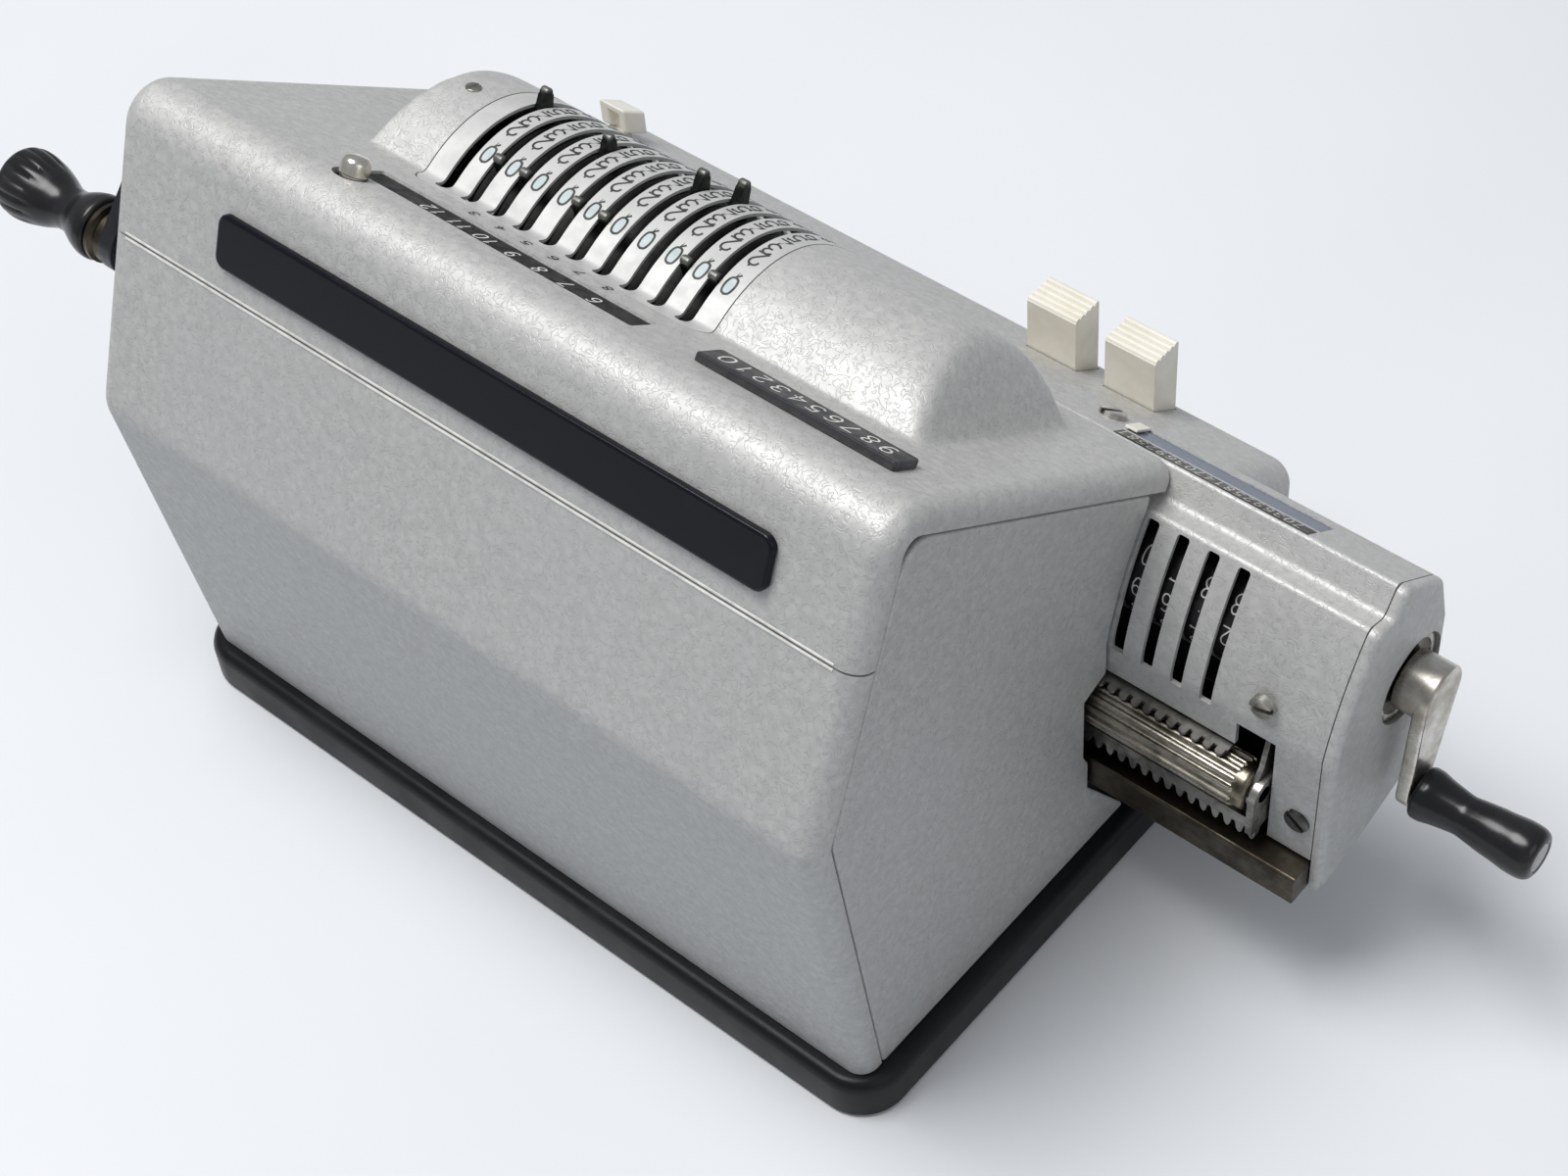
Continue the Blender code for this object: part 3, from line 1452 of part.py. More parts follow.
def make_end_cap(name, side, face, material):
    """End of the carriage: a plate with a recess for the clearing crank and bores for the shafts."""
    inner_face = face - side * CAP_THICK
    low, high = sorted((inner_face, face))
    cap = add_object(name, mesh_of(name, *prism_x(cap_outline(), low, high)), material)
    recess = turn_x(
        [(face - side * RECESS_DEEP, RECESS_RADIUS), (face + side * CUT_OVERRUN, RECESS_RADIUS)],
        CLEAR_AXIS,
        28,
    )
    cut(cap, recess, "recess")
    through = (low - CUT_OVERRUN, high + CUT_OVERRUN)
    bore_radius = CLEAR_SHAFT_RADIUS + BEARING_PLAY
    seat_end = inner_face + side * (RECESS_FLOOR - SEAT_GAP)
    inside = inner_face - side * CUT_OVERRUN
    seat_radius = REGISTER_SHAFT_RADIUS + BEARING_PLAY
    bores = [
        turn_x([(through[0], bore_radius), (through[1], bore_radius)], CLEAR_AXIS, 16),
        turn_x([(inside, seat_radius), (seat_end, seat_radius)], REGISTER_AXIS, 16),
    ]
    cut(cap, join_shapes(bores), "bores")
    return smooth(cap)


def make_register_shaft(material):
    seated = RECESS_FLOOR - SEAT_GAP * 2
    left = CARRIAGE_LEFT_X - seated
    right = CARRIAGE_RIGHT_X + seated
    shape = turn_x(
        [(left, REGISTER_SHAFT_RADIUS), (right, REGISTER_SHAFT_RADIUS)], REGISTER_AXIS, 16
    )
    shaft = add_object("register_shaft", mesh_of("register_shaft", *shape), material)
    return smooth(shaft)


def make_number_wheel(name, x, material):
    """A number wheel: a broad rim for the digits and a bore for the register's shaft."""
    half = (WHEEL_PITCH - NUMBER_GAP) / 2
    sides = 10
    bore = (REGISTER_SHAFT_RADIUS + BEARING_PLAY) / math.cos(math.pi / sides)
    profile = [(x - half, bore), (x - half, NUMBER_RADIUS), (x + half, NUMBER_RADIUS), (x + half, bore)]
    shape = turn_x(profile, REGISTER_AXIS, sides, ends="ring")
    wheel = add_object(name, mesh_of(name, *shape), material, origin=(x, *REGISTER_AXIS))
    return smooth(wheel)


def make_roller(material):
    """The long fluted roller of the carriage, on its axle between the end caps."""
    outline = []
    steps_shares = (-0.30, -0.18, 0.18, 0.30)
    for i in range(ROLLER_FLUTES):
        for k, share in enumerate(steps_shares):
            radius = ROLLER_RADIUS if k in (1, 2) else ROLLER_RADIUS - FLUTE_DEPTH
            angle = 2 * math.pi * (i + share) / ROLLER_FLUTES
            outline.append(
                (
                    ROLLER_AXIS[0] + radius * math.cos(angle),
                    ROLLER_AXIS[1] + radius * math.sin(angle),
                )
            )
    shape = prism_x(outline, ROLLER_LEFT_X, ROLLER_RIGHT_X)
    roller = add_object(
        "fluted_roller",
        mesh_of("fluted_roller", *shape),
        material,
        origin=(ROLLER_LEFT_X, *ROLLER_AXIS),
    )
    left = NOTCH_LEFT_X + SEAT_GAP * 2
    right = ROLLER_RIGHT_X + SEAT_GAP * 2 + COMB_THICK
    axle = turn_x([(left, AXLE_RADIUS), (right, AXLE_RADIUS)], ROLLER_AXIS, 12)
    weld_on(roller, axle, "axle")
    collar_left = left + COMB_THICK + SEAT_GAP * 2
    collar = turn_x(
        [
            (collar_left, ROLLER_RADIUS * 0.72),
            (collar_left + FLUTE_DEPTH, ROLLER_RADIUS * 0.9),
            (ROLLER_LEFT_X + FLUTE_DEPTH, ROLLER_RADIUS * 0.9),
        ],
        ROLLER_AXIS,
        20,
    )
    weld_on(roller, collar, "collar")
    return smooth(roller)


def make_comb_rack(material):
    """The scalloped rack under the roller, its teeth pointing down, held at the left end cap."""
    rear = place(COMB_REAR, 0.0)[0]
    low_x = NOTCH_LEFT_X + SEAT_GAP
    count = math.ceil((ROLLER_RIGHT_X - low_x) / COMB_PITCH)
    bottom, top = BASE_HEIGHT + COMB_LOW, BASE_HEIGHT + COMB_HIGH
    outline = [(low_x, top)]
    tooth_shares = ((0.0, 1.0), (0.12, 0.1), (0.50, 0.1), (0.62, 1.0))
    for i in range(count):
        for along, lift in tooth_shares:
            outline.append((low_x + COMB_PITCH * (i + along), bottom + COMB_TOOTH * lift))
    outline.append((low_x + COMB_PITCH * count, bottom + COMB_TOOTH))
    outline.append((low_x + COMB_PITCH * count, top))
    points = [(x, rear, z) for x, z in outline] + [(x, rear - COMB_THICK, z) for x, z in outline]
    total = len(outline)
    faces = [tuple(range(total)), tuple(range(2 * total - 1, total - 1, -1))]
    for i in range(total):
        after = (i + 1) % total
        faces.append((i, after, total + after, total + i))
    rack = add_object("comb_rack", mesh_of("comb_rack", points, faces), material)
    inside = place(BEND.x - CARRIAGE_WALL - SEAT_GAP, 0.0)[0]
    rim = AXLE_RADIUS + BEARING_PLAY + CHEEK_RIM
    cheek_rear, cheek_top = ROLLER_AXIS[0] + rim, ROLLER_AXIS[1] + rim
    cheek_low = bottom + COMB_TOOTH
    left = low_x + SEAT_GAP
    right = ROLLER_RIGHT_X + SEAT_GAP * 2
    outline = [
        (cheek_rear, cheek_low),
        (cheek_rear, cheek_top),
        (inside - COMB_THICK, cheek_top),
        (inside - COMB_THICK, cheek_low),
    ]
    tab = [
        (inside, cheek_low),
        (inside, cheek_top),
        (inside - COMB_THICK, cheek_top),
        (inside - COMB_THICK, cheek_low),
    ]
    weld_on(rack, prism_x(outline, left, left + COMB_THICK), "left_cheek")
    weld_on(rack, prism_x(outline, right, right + COMB_THICK), "right_cheek")
    weld_on(rack, prism_x(tab, CARRIAGE_LEFT_X + SEAT_GAP, left + COMB_THICK / 2), "tab")
    reach = (left - CUT_OVERRUN, right + CUT_OVERRUN)
    bore_radius = AXLE_RADIUS + BEARING_PLAY
    cut(rack, turn_x([(reach[0], bore_radius), (reach[1], bore_radius)], ROLLER_AXIS, 16), "bore")
    return rack


def make_rail(material):
    rear, low = place(RAIL_REAR, RAIL_FLOOR)
    bevel = SEAT_GAP * 2
    outline = [
        (rear, low),
        (rear, low + RAIL_THICK - bevel),
        (rear - bevel, low + RAIL_THICK),
        (rear - RAIL_WIDE, low + RAIL_THICK),
        (rear - RAIL_WIDE, low),
    ]
    low_x, high_x = CARRIAGE_LEFT_X + SEAT_GAP, CARRIAGE_RIGHT_X - SEAT_GAP
    rail = add_object("carriage_rail", mesh_of("carriage_rail", *prism_x(outline, low_x, high_x)), material)
    return rail


# Front housing and keys


def housing_profile(inset):
    """The front housing's section drawn in by an inset: rear edge, front corner and front foot."""
    start = Vector(on_top(0.0, -HOUSING_DROP - inset))
    front = FRONT_Y + inset
    slope = SLOPE
    rear_y = place(HOUSING_START, 0.0)[0]
    rear_top = start + slope * ((rear_y - start.x) / slope.x)
    corner = start + slope * ((front - start.x) / slope.x)
    low = BASE_HEIGHT + SEAT_GAP
    radius = max(HOUSING_ROUND - inset, SHELL_WALL / 2)
    path = filleted(
        [tuple(rear_top), tuple(corner), (front, low)], [0.0, radius, 0.0], 5
    )
    return path + [(rear_y, low)]


def housing_solid(inset, low_overrun, rear_overrun):
    """A block of the housing's section, its ends rounded in plan, drawn in by an inset."""
    edge = HALF_WIDTH - inset
    radius = HOUSING_END_ROUND - inset
    steps = 4
    stations = []
    for i in range(steps + 1):
        angle = math.pi / 2 * i / steps
        stations.append((-(edge - radius) - radius * math.cos(angle), radius - radius * math.sin(angle)))
    stations += [(-x, more) for x, more in reversed(stations)]
    rings = []
    for x, more in stations:
        section = housing_profile(inset + more)
        rear_y, low = section[-1]
        section[-1] = (rear_y + rear_overrun, low - low_overrun)
        section[-2] = (section[-2][0], low - low_overrun)
        slope_rise = Vector(section[0]) - SLOPE * rear_overrun / -SLOPE.x
        section[0] = (slope_rise.x, slope_rise.y)
        rings.append([(x, y, z) for y, z in section])
    return loft(rings)


def key_boxes():
    """(x left, x right, y front, y rear) of each tall key and of the small key's stem."""
    rear = place(HOUSING_START - KEY_SETBACK, 0.0)[0]
    rights = [-KEY_OFFSET, -KEY_OFFSET - KEY_SPACING]
    boxes = [(x - KEY_WIDTH, x, rear - KEY_DEEP, rear) for x in rights]
    t_rear = place(HOUSING_START - T_KEY_SETBACK, 0.0)[0]
    boxes.append(
        (T_KEY_X - T_STEM_WIDTH / 2, T_KEY_X + T_STEM_WIDTH / 2, t_rear - T_STEM_DEEP, t_rear)
    )
    return boxes


def box_z(limits, z_low, z_high, grow=0.0):
    left, right, front, rear = limits
    outline = [
        (left - grow, front - grow),
        (right + grow, front - grow),
        (right + grow, rear + grow),
        (left - grow, rear + grow),
    ]
    return prism_z(outline, z_low, z_high)


def make_front_housing(material):
    housing = add_object(
        "front_housing", mesh_of("front_housing", *housing_solid(0.0, 0.0, 0.0)), material
    )
    hollow = housing_solid(SHELL_WALL, CUT_OVERRUN, CUT_OVERRUN)
    cut(housing, hollow, "hollow")
    low = place(0.0, PLATE_FOOT)[1]
    high = place(0.0, CROWN.y)[1]
    holes = [box_z(limits, low, high, KEY_CLEARANCE) for limits in key_boxes()]
    cut(housing, join_shapes(holes), "key_holes")
    return smooth(housing)


def surface_height(y):
    """Height of the front housing's top at this y."""
    start = Vector(on_top(0.0, -HOUSING_DROP))
    return (start + SLOPE * ((y - start.x) / SLOPE.x)).y


def make_tall_key(name, limits, material):
    """A tall key with ribs across its top, its foot sunk through the housing."""
    left, right, front, rear = limits
    top = surface_height(rear) + KEY_RISE
    bottom = surface_height(front) - KEY_SINK
    pitch = (rear - front) / KEY_RIBS
    crest_shares = ((0.0, 0.0), (0.22, 1.0), (0.62, 1.0), (0.84, 0.0))
    outline = [(front, bottom)]
    for i in range(KEY_RIBS):
        for along, lift in crest_shares:
            outline.append((front + pitch * (i + along), top - KEY_RIB * (1 - lift)))
    outline.append((rear, top - KEY_RIB))
    outline.append((rear, bottom))
    key = add_object(name, mesh_of(name, *prism_x(outline, left, right)), material, origin=(left, rear, bottom))
    return key


def make_small_key(limits, material):
    """The small T-shaped key: a stem with a bar across it."""
    left, right, front, rear = limits
    ground = surface_height(rear)
    cap_low = ground + T_KEY_TRAVEL + T_KEY_CLEAR
    top = cap_low + T_KEY_THICK / 2
    bottom = surface_height(front) - KEY_SINK
    stem = box_z(limits, bottom, top)
    key = add_object(
        "small_key", mesh_of("small_key", *stem), material, origin=(left, rear, bottom)
    )
    centre_y = (front + rear) / 2
    bar = (
        T_KEY_X - T_KEY_WIDTH / 2,
        T_KEY_X + T_KEY_WIDTH / 2,
        centre_y - T_STEM_DEEP * 0.8,
        centre_y + T_STEM_DEEP * 0.8,
    )
    tail = (
        T_KEY_X - T_STEM_WIDTH * 0.6,
        T_KEY_X + T_STEM_WIDTH * 0.6,
        centre_y - T_KEY_DEEP,
        centre_y + T_STEM_DEEP / 2,
    )
    weld_on(key, box_z(bar, cap_low, cap_low + T_KEY_THICK), "bar")
    weld_on(key, box_z(tail, cap_low, cap_low + T_KEY_THICK * 0.96), "tail")
    return key


def main():
    clear_scene()
    grey = finish("silver_grey_enamel", (0.42, 0.43, 0.42), 0.38, 0.55)
    black = finish("satin_black", (0.012, 0.013, 0.015), 0.42, 0.0)
    gloss = finish("gloss_black", (0.008, 0.010, 0.014), 0.22, 0.0)
    steel = finish("plain_steel", (0.36, 0.35, 0.33), 0.35, 1.0)
    blued = finish("blued_steel", (0.09, 0.10, 0.12), 0.35, 1.0)
    nickel = finish("nickel", (0.52, 0.50, 0.45), 0.28, 1.0)
    bronze = finish("dark_bronze", (0.09, 0.08, 0.06), 0.45, 1.0)
    bakelite = finish("black_bakelite", (0.010, 0.010, 0.012), 0.20, 0.0)
    ivory = finish("ivory", (0.80, 0.77, 0.68), 0.35, 0.0)
    wheel = finish("black_wheel", (0.02, 0.02, 0.02), 0.40, 0.0)

    make_base(black)
    make_rear_housing(grey)
    make_end_panel("end_panel_left", -1, grey)
    make_end_panel("end_panel_right", 1, grey)
    make_top_cover(grey)
    make_slot_plate(grey)
    make_nameplate(gloss)
    make_check_window(black)
    make_counter_scale(gloss)
    make_side_frame("side_frame_left", -1, steel)
    make_side_frame("side_frame_right", 1, steel)
    make_front_housing(grey)
    boxes = key_boxes()
    make_tall_key("shift_key_right", boxes[0], ivory)
    make_tall_key("shift_key_left", boxes[1], ivory)
    make_small_key(boxes[2], ivory)

    make_main_crank(blued, bakelite, steel)
    make_idler(steel)
    make_rotor(steel)
    for index in range(LEVER_COUNT):
        make_setting_ring(index, blued)

    make_carriage_cover(grey)
    left_face = CARRIAGE_LEFT_X - CAP_THICK
    right_face = CARRIAGE_RIGHT_X + CAP_THICK
    make_end_cap("carriage_cap_left", -1, left_face, grey)
    make_end_cap("carriage_cap_right", 1, right_face, grey)
    make_rail(bronze)
    make_register_shaft(steel)
    make_roller(nickel)
    make_comb_rack(steel)
    for i, x in enumerate(COUNTER_X):
        make_number_wheel(f"counter_wheel_{i + 1}", x, wheel)
    for i, x in enumerate(RESULT_X):
        make_number_wheel(f"result_wheel_{i + 1:02d}", x, wheel)
    make_clearing_crank("counter", -1, left_face, LEFT_CLEAR_ANGLE, nickel, bakelite)
    make_clearing_crank("result", 1, right_face, RIGHT_CLEAR_ANGLE, nickel, bakelite)


main()
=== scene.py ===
import json
import math

import bmesh
import bpy
from mathutils import Matrix, Vector


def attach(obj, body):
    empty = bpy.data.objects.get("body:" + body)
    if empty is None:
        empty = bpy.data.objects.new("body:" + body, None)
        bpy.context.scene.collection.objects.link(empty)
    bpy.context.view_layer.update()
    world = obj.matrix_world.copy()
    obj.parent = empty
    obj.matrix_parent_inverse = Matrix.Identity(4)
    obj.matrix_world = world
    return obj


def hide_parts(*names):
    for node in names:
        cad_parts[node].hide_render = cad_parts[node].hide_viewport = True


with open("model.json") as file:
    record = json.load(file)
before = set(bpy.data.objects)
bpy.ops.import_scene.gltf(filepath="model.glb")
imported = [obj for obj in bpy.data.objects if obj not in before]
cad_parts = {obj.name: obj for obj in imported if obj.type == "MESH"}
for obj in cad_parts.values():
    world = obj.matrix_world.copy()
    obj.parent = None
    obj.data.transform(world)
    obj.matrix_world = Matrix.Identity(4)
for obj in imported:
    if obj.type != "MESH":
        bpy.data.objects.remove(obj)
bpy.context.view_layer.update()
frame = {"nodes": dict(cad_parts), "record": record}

# Sizes, in metres. Sections are (y, z), +Y to the rear. They follow the CAD source, apart from the
# hump with its plate and slots, the levers' tops, the heights of bar and knob, the small key and
# the drop of the front housing, which were read again later

HALF = 0.1115
BASE = 0.013
SKIN = 0.0014
REAR_Y = 0.085988
FRONT_Y = -0.085988
TILT = math.radians(35.8)
SLOPE = Vector((-math.cos(TILT), -math.sin(TILT)))
ABOVE = Vector((-math.sin(TILT), math.cos(TILT)))
FOOT = Vector((REAR_Y, BASE + 0.0003))
KNEE = Vector((0.096488, 0.1105))
SHOULDER = Vector((0.063803, 0.189021))
LEAN = (SHOULDER - KNEE).normalized()
OUTWARD = Vector((LEAN.y, -LEAN.x))
TOP = 0.1156
SEAM = 0.153021
CORNER = 0.005
LIP = 0.0062
PITCH = 0.008
LEVERS = [0.0455 - PITCH * i for i in range(10)]
RESULTS = [0.0455 - PITCH * i for i in range(13)]
COUNTERS = [-0.0975 - PITCH * i for i in range(6)]
HUMP_ALONG, HUMP_BELOW, HUMP_RADIUS, HUMP_STRETCH = 0.0688, 0.0099, 0.0300, 0.79
HUMP_LEFT, HUMP_RIGHT = -0.09, 0.071
PLATE_LOW, PLATE_HIGH = -0.034, 0.053
PLATE_START, PLATE_END = 0.0344, 0.111
SLOT_START, SLOT_END, SLOT_WIDE = 0.0368, 0.1086, 0.003
CHECK = (-0.0285, 0.0535, 0.0180, 0.0275)
SCALE = (-0.0975, -0.0452, 0.018711, 0.027911)
SCALE_HIGH = 0.0021
KNOB_X, KNOB_ALONG = 0.0503, 0.0140
ROTOR = Vector((0.01026, 0.137952))
DISC, RING_SEAT, LEVER_TOP = 0.02625, 0.02105, 0.0356
ZERO, STEP = math.radians(70.8), math.radians(8)
SET = (5, 0, 0, 4, 0, 0, 5, 6, 0, 0)
CRANK = Vector((0.049501, 0.162431))
CRANK_FACE, CRANK_OUT, CRANK_ANGLE, CRANK_ARM = 0.1121, 0.12, math.radians(-46), 0.0325
GRIP_START, GRIP_LONG = 0.1253, 0.032
GEAR_TEETH, GEAR_MODULE, GEAR_SIDES = 14, 0.001, (0.0905, 0.0965)
CRANK_PHASE, ROTOR_PHASE = -2.109113, 0.19871
IDLER = Vector((0.036171, 0.140108))
CAR_LEFT, CAR_RIGHT, CAP = -0.1685, 0.1124, 0.003
BEND = Vector((-0.092844 + 0.085988, 0.083))
CROWN = Vector((-0.106544 + 0.085988, 0.1156))
VALLEY = Vector((-0.02626, 0.1138))
PLATE_FOOT, PLATE_CUT = 0.0465, 0.0725
FRONT_WALL = -0.05049
RAIL_TOP, RAIL_LOW, RAIL_REAR, RAIL_DEEP = 0.0453, 0.0363, -0.000456, 0.014
REGISTER = Vector((-0.026143, 0.094063))
NUMBER_RADIUS = 0.0132
COUNTER_SHOWN = (3, 8, 2, 9, 0, 5)
RESULT_SHOWN = (0, 4, 7, 1, 0, 0, 2, 5, 0, 0, 0, 0, 0)
ROLLER = Vector((-0.004956, 0.0635))
ROLL_LEFT, ROLL_RIGHT, ROLL_RADIUS = -0.1505, -0.0585, 0.0063
CLEAR = Vector((-0.037143, 0.084963))
CLEAR_ARM = 0.0292
NOTCH = (-0.1565, -0.1461)
COMB_HIGH, COMB_LOW, COMB_REAR, COMB_PITCH = 0.056, 0.0492, -0.001956, 0.0033
HOUSING_START, HOUSING_DROP = -0.051389, 0.0072
KEY_FRONT, KEY_REAR, KEY_HIGH = -0.082388, -0.072788, 0.0166
KEYS = {"right": (-0.0526, -0.0378), "left": (-0.0762, -0.0614)}
SMALL_KEY = (0.09565, 0.10115, -0.072488, -0.068488)


def add_object(name, data):
    thing = bpy.data.objects.new(name, data)
    bpy.context.scene.collection.objects.link(thing)
    return thing


# Camera, fitted to the outlines of the body

CAMERA_AZIMUTH = math.radians(224.79)
CAMERA_ELEVATION = math.radians(49.05)
CAMERA_ROLL = math.radians(-5.84)
CAMERA_PLACE = Vector((-0.3536, 0.3398, 0.5931))
CAMERA_LENS = 66.62


def make_camera():
    across, up = math.cos(CAMERA_ELEVATION), math.sin(CAMERA_ELEVATION)
    back = Vector((math.sin(CAMERA_AZIMUTH) * across, -math.cos(CAMERA_AZIMUTH) * across, up))
    right = (-back).cross(Vector((0, 0, 1))).normalized()
    above = right.cross(-back)
    c, s = math.cos(CAMERA_ROLL), math.sin(CAMERA_ROLL)
    right, above = c * right + s * above, -s * right + c * above
    data = bpy.data.cameras.new("camera")
    data.sensor_width, data.lens = 36, CAMERA_LENS
    data.clip_start, data.clip_end = 0.02, 20
    camera = add_object("camera", data)
    turn = Matrix((right, above, back)).transposed().to_4x4()
    camera.matrix_world = Matrix.Translation(CAMERA_PLACE) @ turn
    bpy.context.scene.camera = camera


make_camera()
bpy.context.scene.view_settings.view_transform = "Standard"

# Materials

SHADER_INPUTS = {
    "metal": "Metallic",
    "normal": "Normal",
    "specular": "Specular IOR Level",
    "subsurface": "Subsurface Weight",
    "alpha": "Alpha",
}


class Nodes:
    """A material whose node tree is written as nested calls."""

    def __init__(self, name):
        self.material = bpy.data.materials.new(name)
        self.material.use_nodes = True
        self.tree = self.material.node_tree
        self.place = self.add("TexCoord", "Object", {})

    def add(self, kind, output, inputs, **settings):
        node = self.tree.nodes.new("ShaderNode" + kind)
        for key, value in settings.items():
            setattr(node, key, value)
        self.fill(node, inputs)
        return node.outputs[output]

    def fill(self, node, inputs):
        for key, value in inputs.items():
            if isinstance(value, bpy.types.NodeSocket):
                self.tree.links.new(value, node.inputs[key])
            else:
                node.inputs[key].default_value = value

    def noise(self, scale, detail=2.0, rough=0.5, distortion=0.0, place=None, output="Fac"):
        inputs = {"Vector": place or self.place, "Scale": scale, "Detail": detail}
        inputs.update({"Roughness": rough, "Distortion": distortion})
        return self.add("TexNoise", output, inputs)

    def moved(self, operation, *values):
        inputs = dict(enumerate(values))
        return self.add("VectorMath", "Vector", inputs, operation=operation)

    def math(self, operation, a, b=0.0):
        return self.add("Math", 0, {0: a, 1: b}, operation=operation)

    def span(self, value, low, high, to_low=0.0, to_high=1.0):
        inputs = {"Value": value, "From Min": low, "From Max": high}
        inputs.update({"To Min": to_low, "To Max": to_high})
        return self.add("MapRange", "Result", inputs, interpolation_type="SMOOTHSTEP")

    def mix(self, share, a, b):
        a, b = ((*end, 1.0) if isinstance(end, tuple) else end for end in (a, b))
        return self.add("Mix", 2, {"Factor": share, 6: a, 7: b}, data_type="RGBA")

    def bump(self, height, distance, strength, before=None):
        inputs = {"Height": height, "Distance": distance, "Strength": strength}
        if before is not None:
            inputs["Normal"] = before
        return self.add("Bump", "Normal", inputs)

    def done(self, tone, rough, **more):
        inputs = {SHADER_INPUTS[key]: value for key, value in more.items()}
        inputs.update({"Base Color": tone, "Roughness": rough})
        self.fill(self.tree.nodes["Principled BSDF"], inputs)
        return self.material


def enamel():
    """Silver-grey wrinkle enamel: short curved creases on a soft hammered ground, with painted shade in
    the creases.
    """
    n = Nodes("hammered_enamel")

    def creased(width, depth, *noise):
        folds = n.math("ABSOLUTE", n.math("SUBTRACT", n.noise(*noise), 0.5))
        return n.span(folds, 0.004, width, depth, 0.0)

    place = n.moved("MULTIPLY_ADD", n.noise(260.0, output="Color"), (0.0014,) * 3, n.place)
    inputs = {"Vector": place, "Scale": 420.0, "Smoothness": 0.5}
    cells = n.add("TexVoronoi", "Distance", inputs, feature="SMOOTH_F1")
    where = n.span(n.noise(520.0, 1.0, 0.5, 0.3, place), 0.44, 0.56)
    elsewhere = n.span(where, 0.0, 1.0, 1.0, 0.0)
    creases = n.math("MULTIPLY", creased(0.05, 1.0, 430.0, 1.5, 0.5, 0.9), where)
    more = n.math("MULTIPLY", creased(0.035, 0.9, 300.0, 1.5, 0.5, 1.4, place), elsewhere)
    creases = n.math("MAXIMUM", creases, more)
    patches = n.noise(260.0)
    tone = n.mix(n.span(cells, 0.1, 0.75), (0.54, 0.535, 0.515), (0.475, 0.472, 0.455))
    # Painted shade: the colour goes darker in the creases, where shade lies in the grooves.
    tone = n.mix(n.span(creases, 0.0, 1.0, 0.0, 0.38), tone, (0.30, 0.30, 0.29))
    tone = n.mix(n.span(patches, 0.3, 0.7, 0.0, 0.15), tone, (0.60, 0.595, 0.57))
    tone = n.mix(n.span(n.noise(14.0, 3.0), 0.35, 0.7, 0.0, 0.25), tone, (0.50, 0.50, 0.49))
    normal = n.bump(cells, 0.00011, 0.5)
    normal = n.bump(n.math("SUBTRACT", 1.0, creases), 0.00008, 0.6, normal)
    normal = n.bump(n.noise(900.0, 3.0, 0.6), 0.00003, 0.5, normal)
    return n.done(tone, n.span(patches, 0.2, 0.8, 0.44, 0.54), metal=0.28, normal=normal)


def lever_metal():
    """Blued levers with a greenish bloom, worn bright at the tips."""
    n = Nodes("lever_metal")
    cloud = n.noise(400.0, 4.0, 0.6)
    away = []
    for letter, centre in (("Y", ROTOR.x), ("Z", ROTOR.y)):
        gap = n.math("SUBTRACT", n.add("SeparateXYZ", letter, {0: n.place}), centre)
        away.append(n.math("MULTIPLY", gap, gap))
    reach = n.math("SQRT", n.math("ADD", *away))
    reach = n.math("ADD", reach, n.math("MULTIPLY", cloud, 0.0012))
    tone = n.mix(n.span(cloud, 0.4, 0.7), (0.008, 0.011, 0.009), (0.030, 0.035, 0.028))
    tone = n.mix(n.span(reach, 0.0348, 0.0364), tone, (0.20, 0.20, 0.185))
    return n.done(tone, n.span(cloud, 0.3, 0.7, 0.34, 0.5), metal=0.8)


def cloudy(name, noise, tones, share, rough, fine=None, **more):
    """A finish whose colour and gloss follow one cloud of noise, with a fine grain on it."""
    n = Nodes(name)
    cloud = n.noise(*noise)
    if fine:
        grain, distance, strength = fine
        more["normal"] = n.bump(n.noise(*grain), distance, strength)
    return n.done(n.mix(n.span(cloud, *share), *tones), n.span(cloud, *rough), **more)


def paint(name, dark, light, low, high, **more):
    fine = ((1200.0,), 0.00001, 0.5)
    rough = (0.3, 0.7, low, high)
    return cloudy(name, (300.0, 4.0, 0.6), (light, dark), (0.35, 0.7), rough, fine, **more)


def metal(name, dark, light, low, high, grain=(60.0, 900.0, 900.0), metallic=1.0):
    """Turned or drawn metal: fine lines along one way, and patches where it has dulled."""
    n = Nodes(name)
    lines = n.noise(1.0, 4.0, 0.6, place=n.moved("MULTIPLY", n.place, grain))
    dull = n.noise(120.0, 4.0, 0.65)
    tone = n.mix(n.span(dull, 0.35, 0.7), light, dark)
    tone = n.mix(n.span(lines, 0.3, 0.7, 0.0, 0.25), tone, dark)
    rough = n.math("ADD", n.span(dull, 0.3, 0.7, low, high), n.span(lines, 0.3, 0.7, 0.0, 0.06))
    return n.done(tone, rough, metal=metallic, normal=n.bump(lines, 0.00001, 0.6))


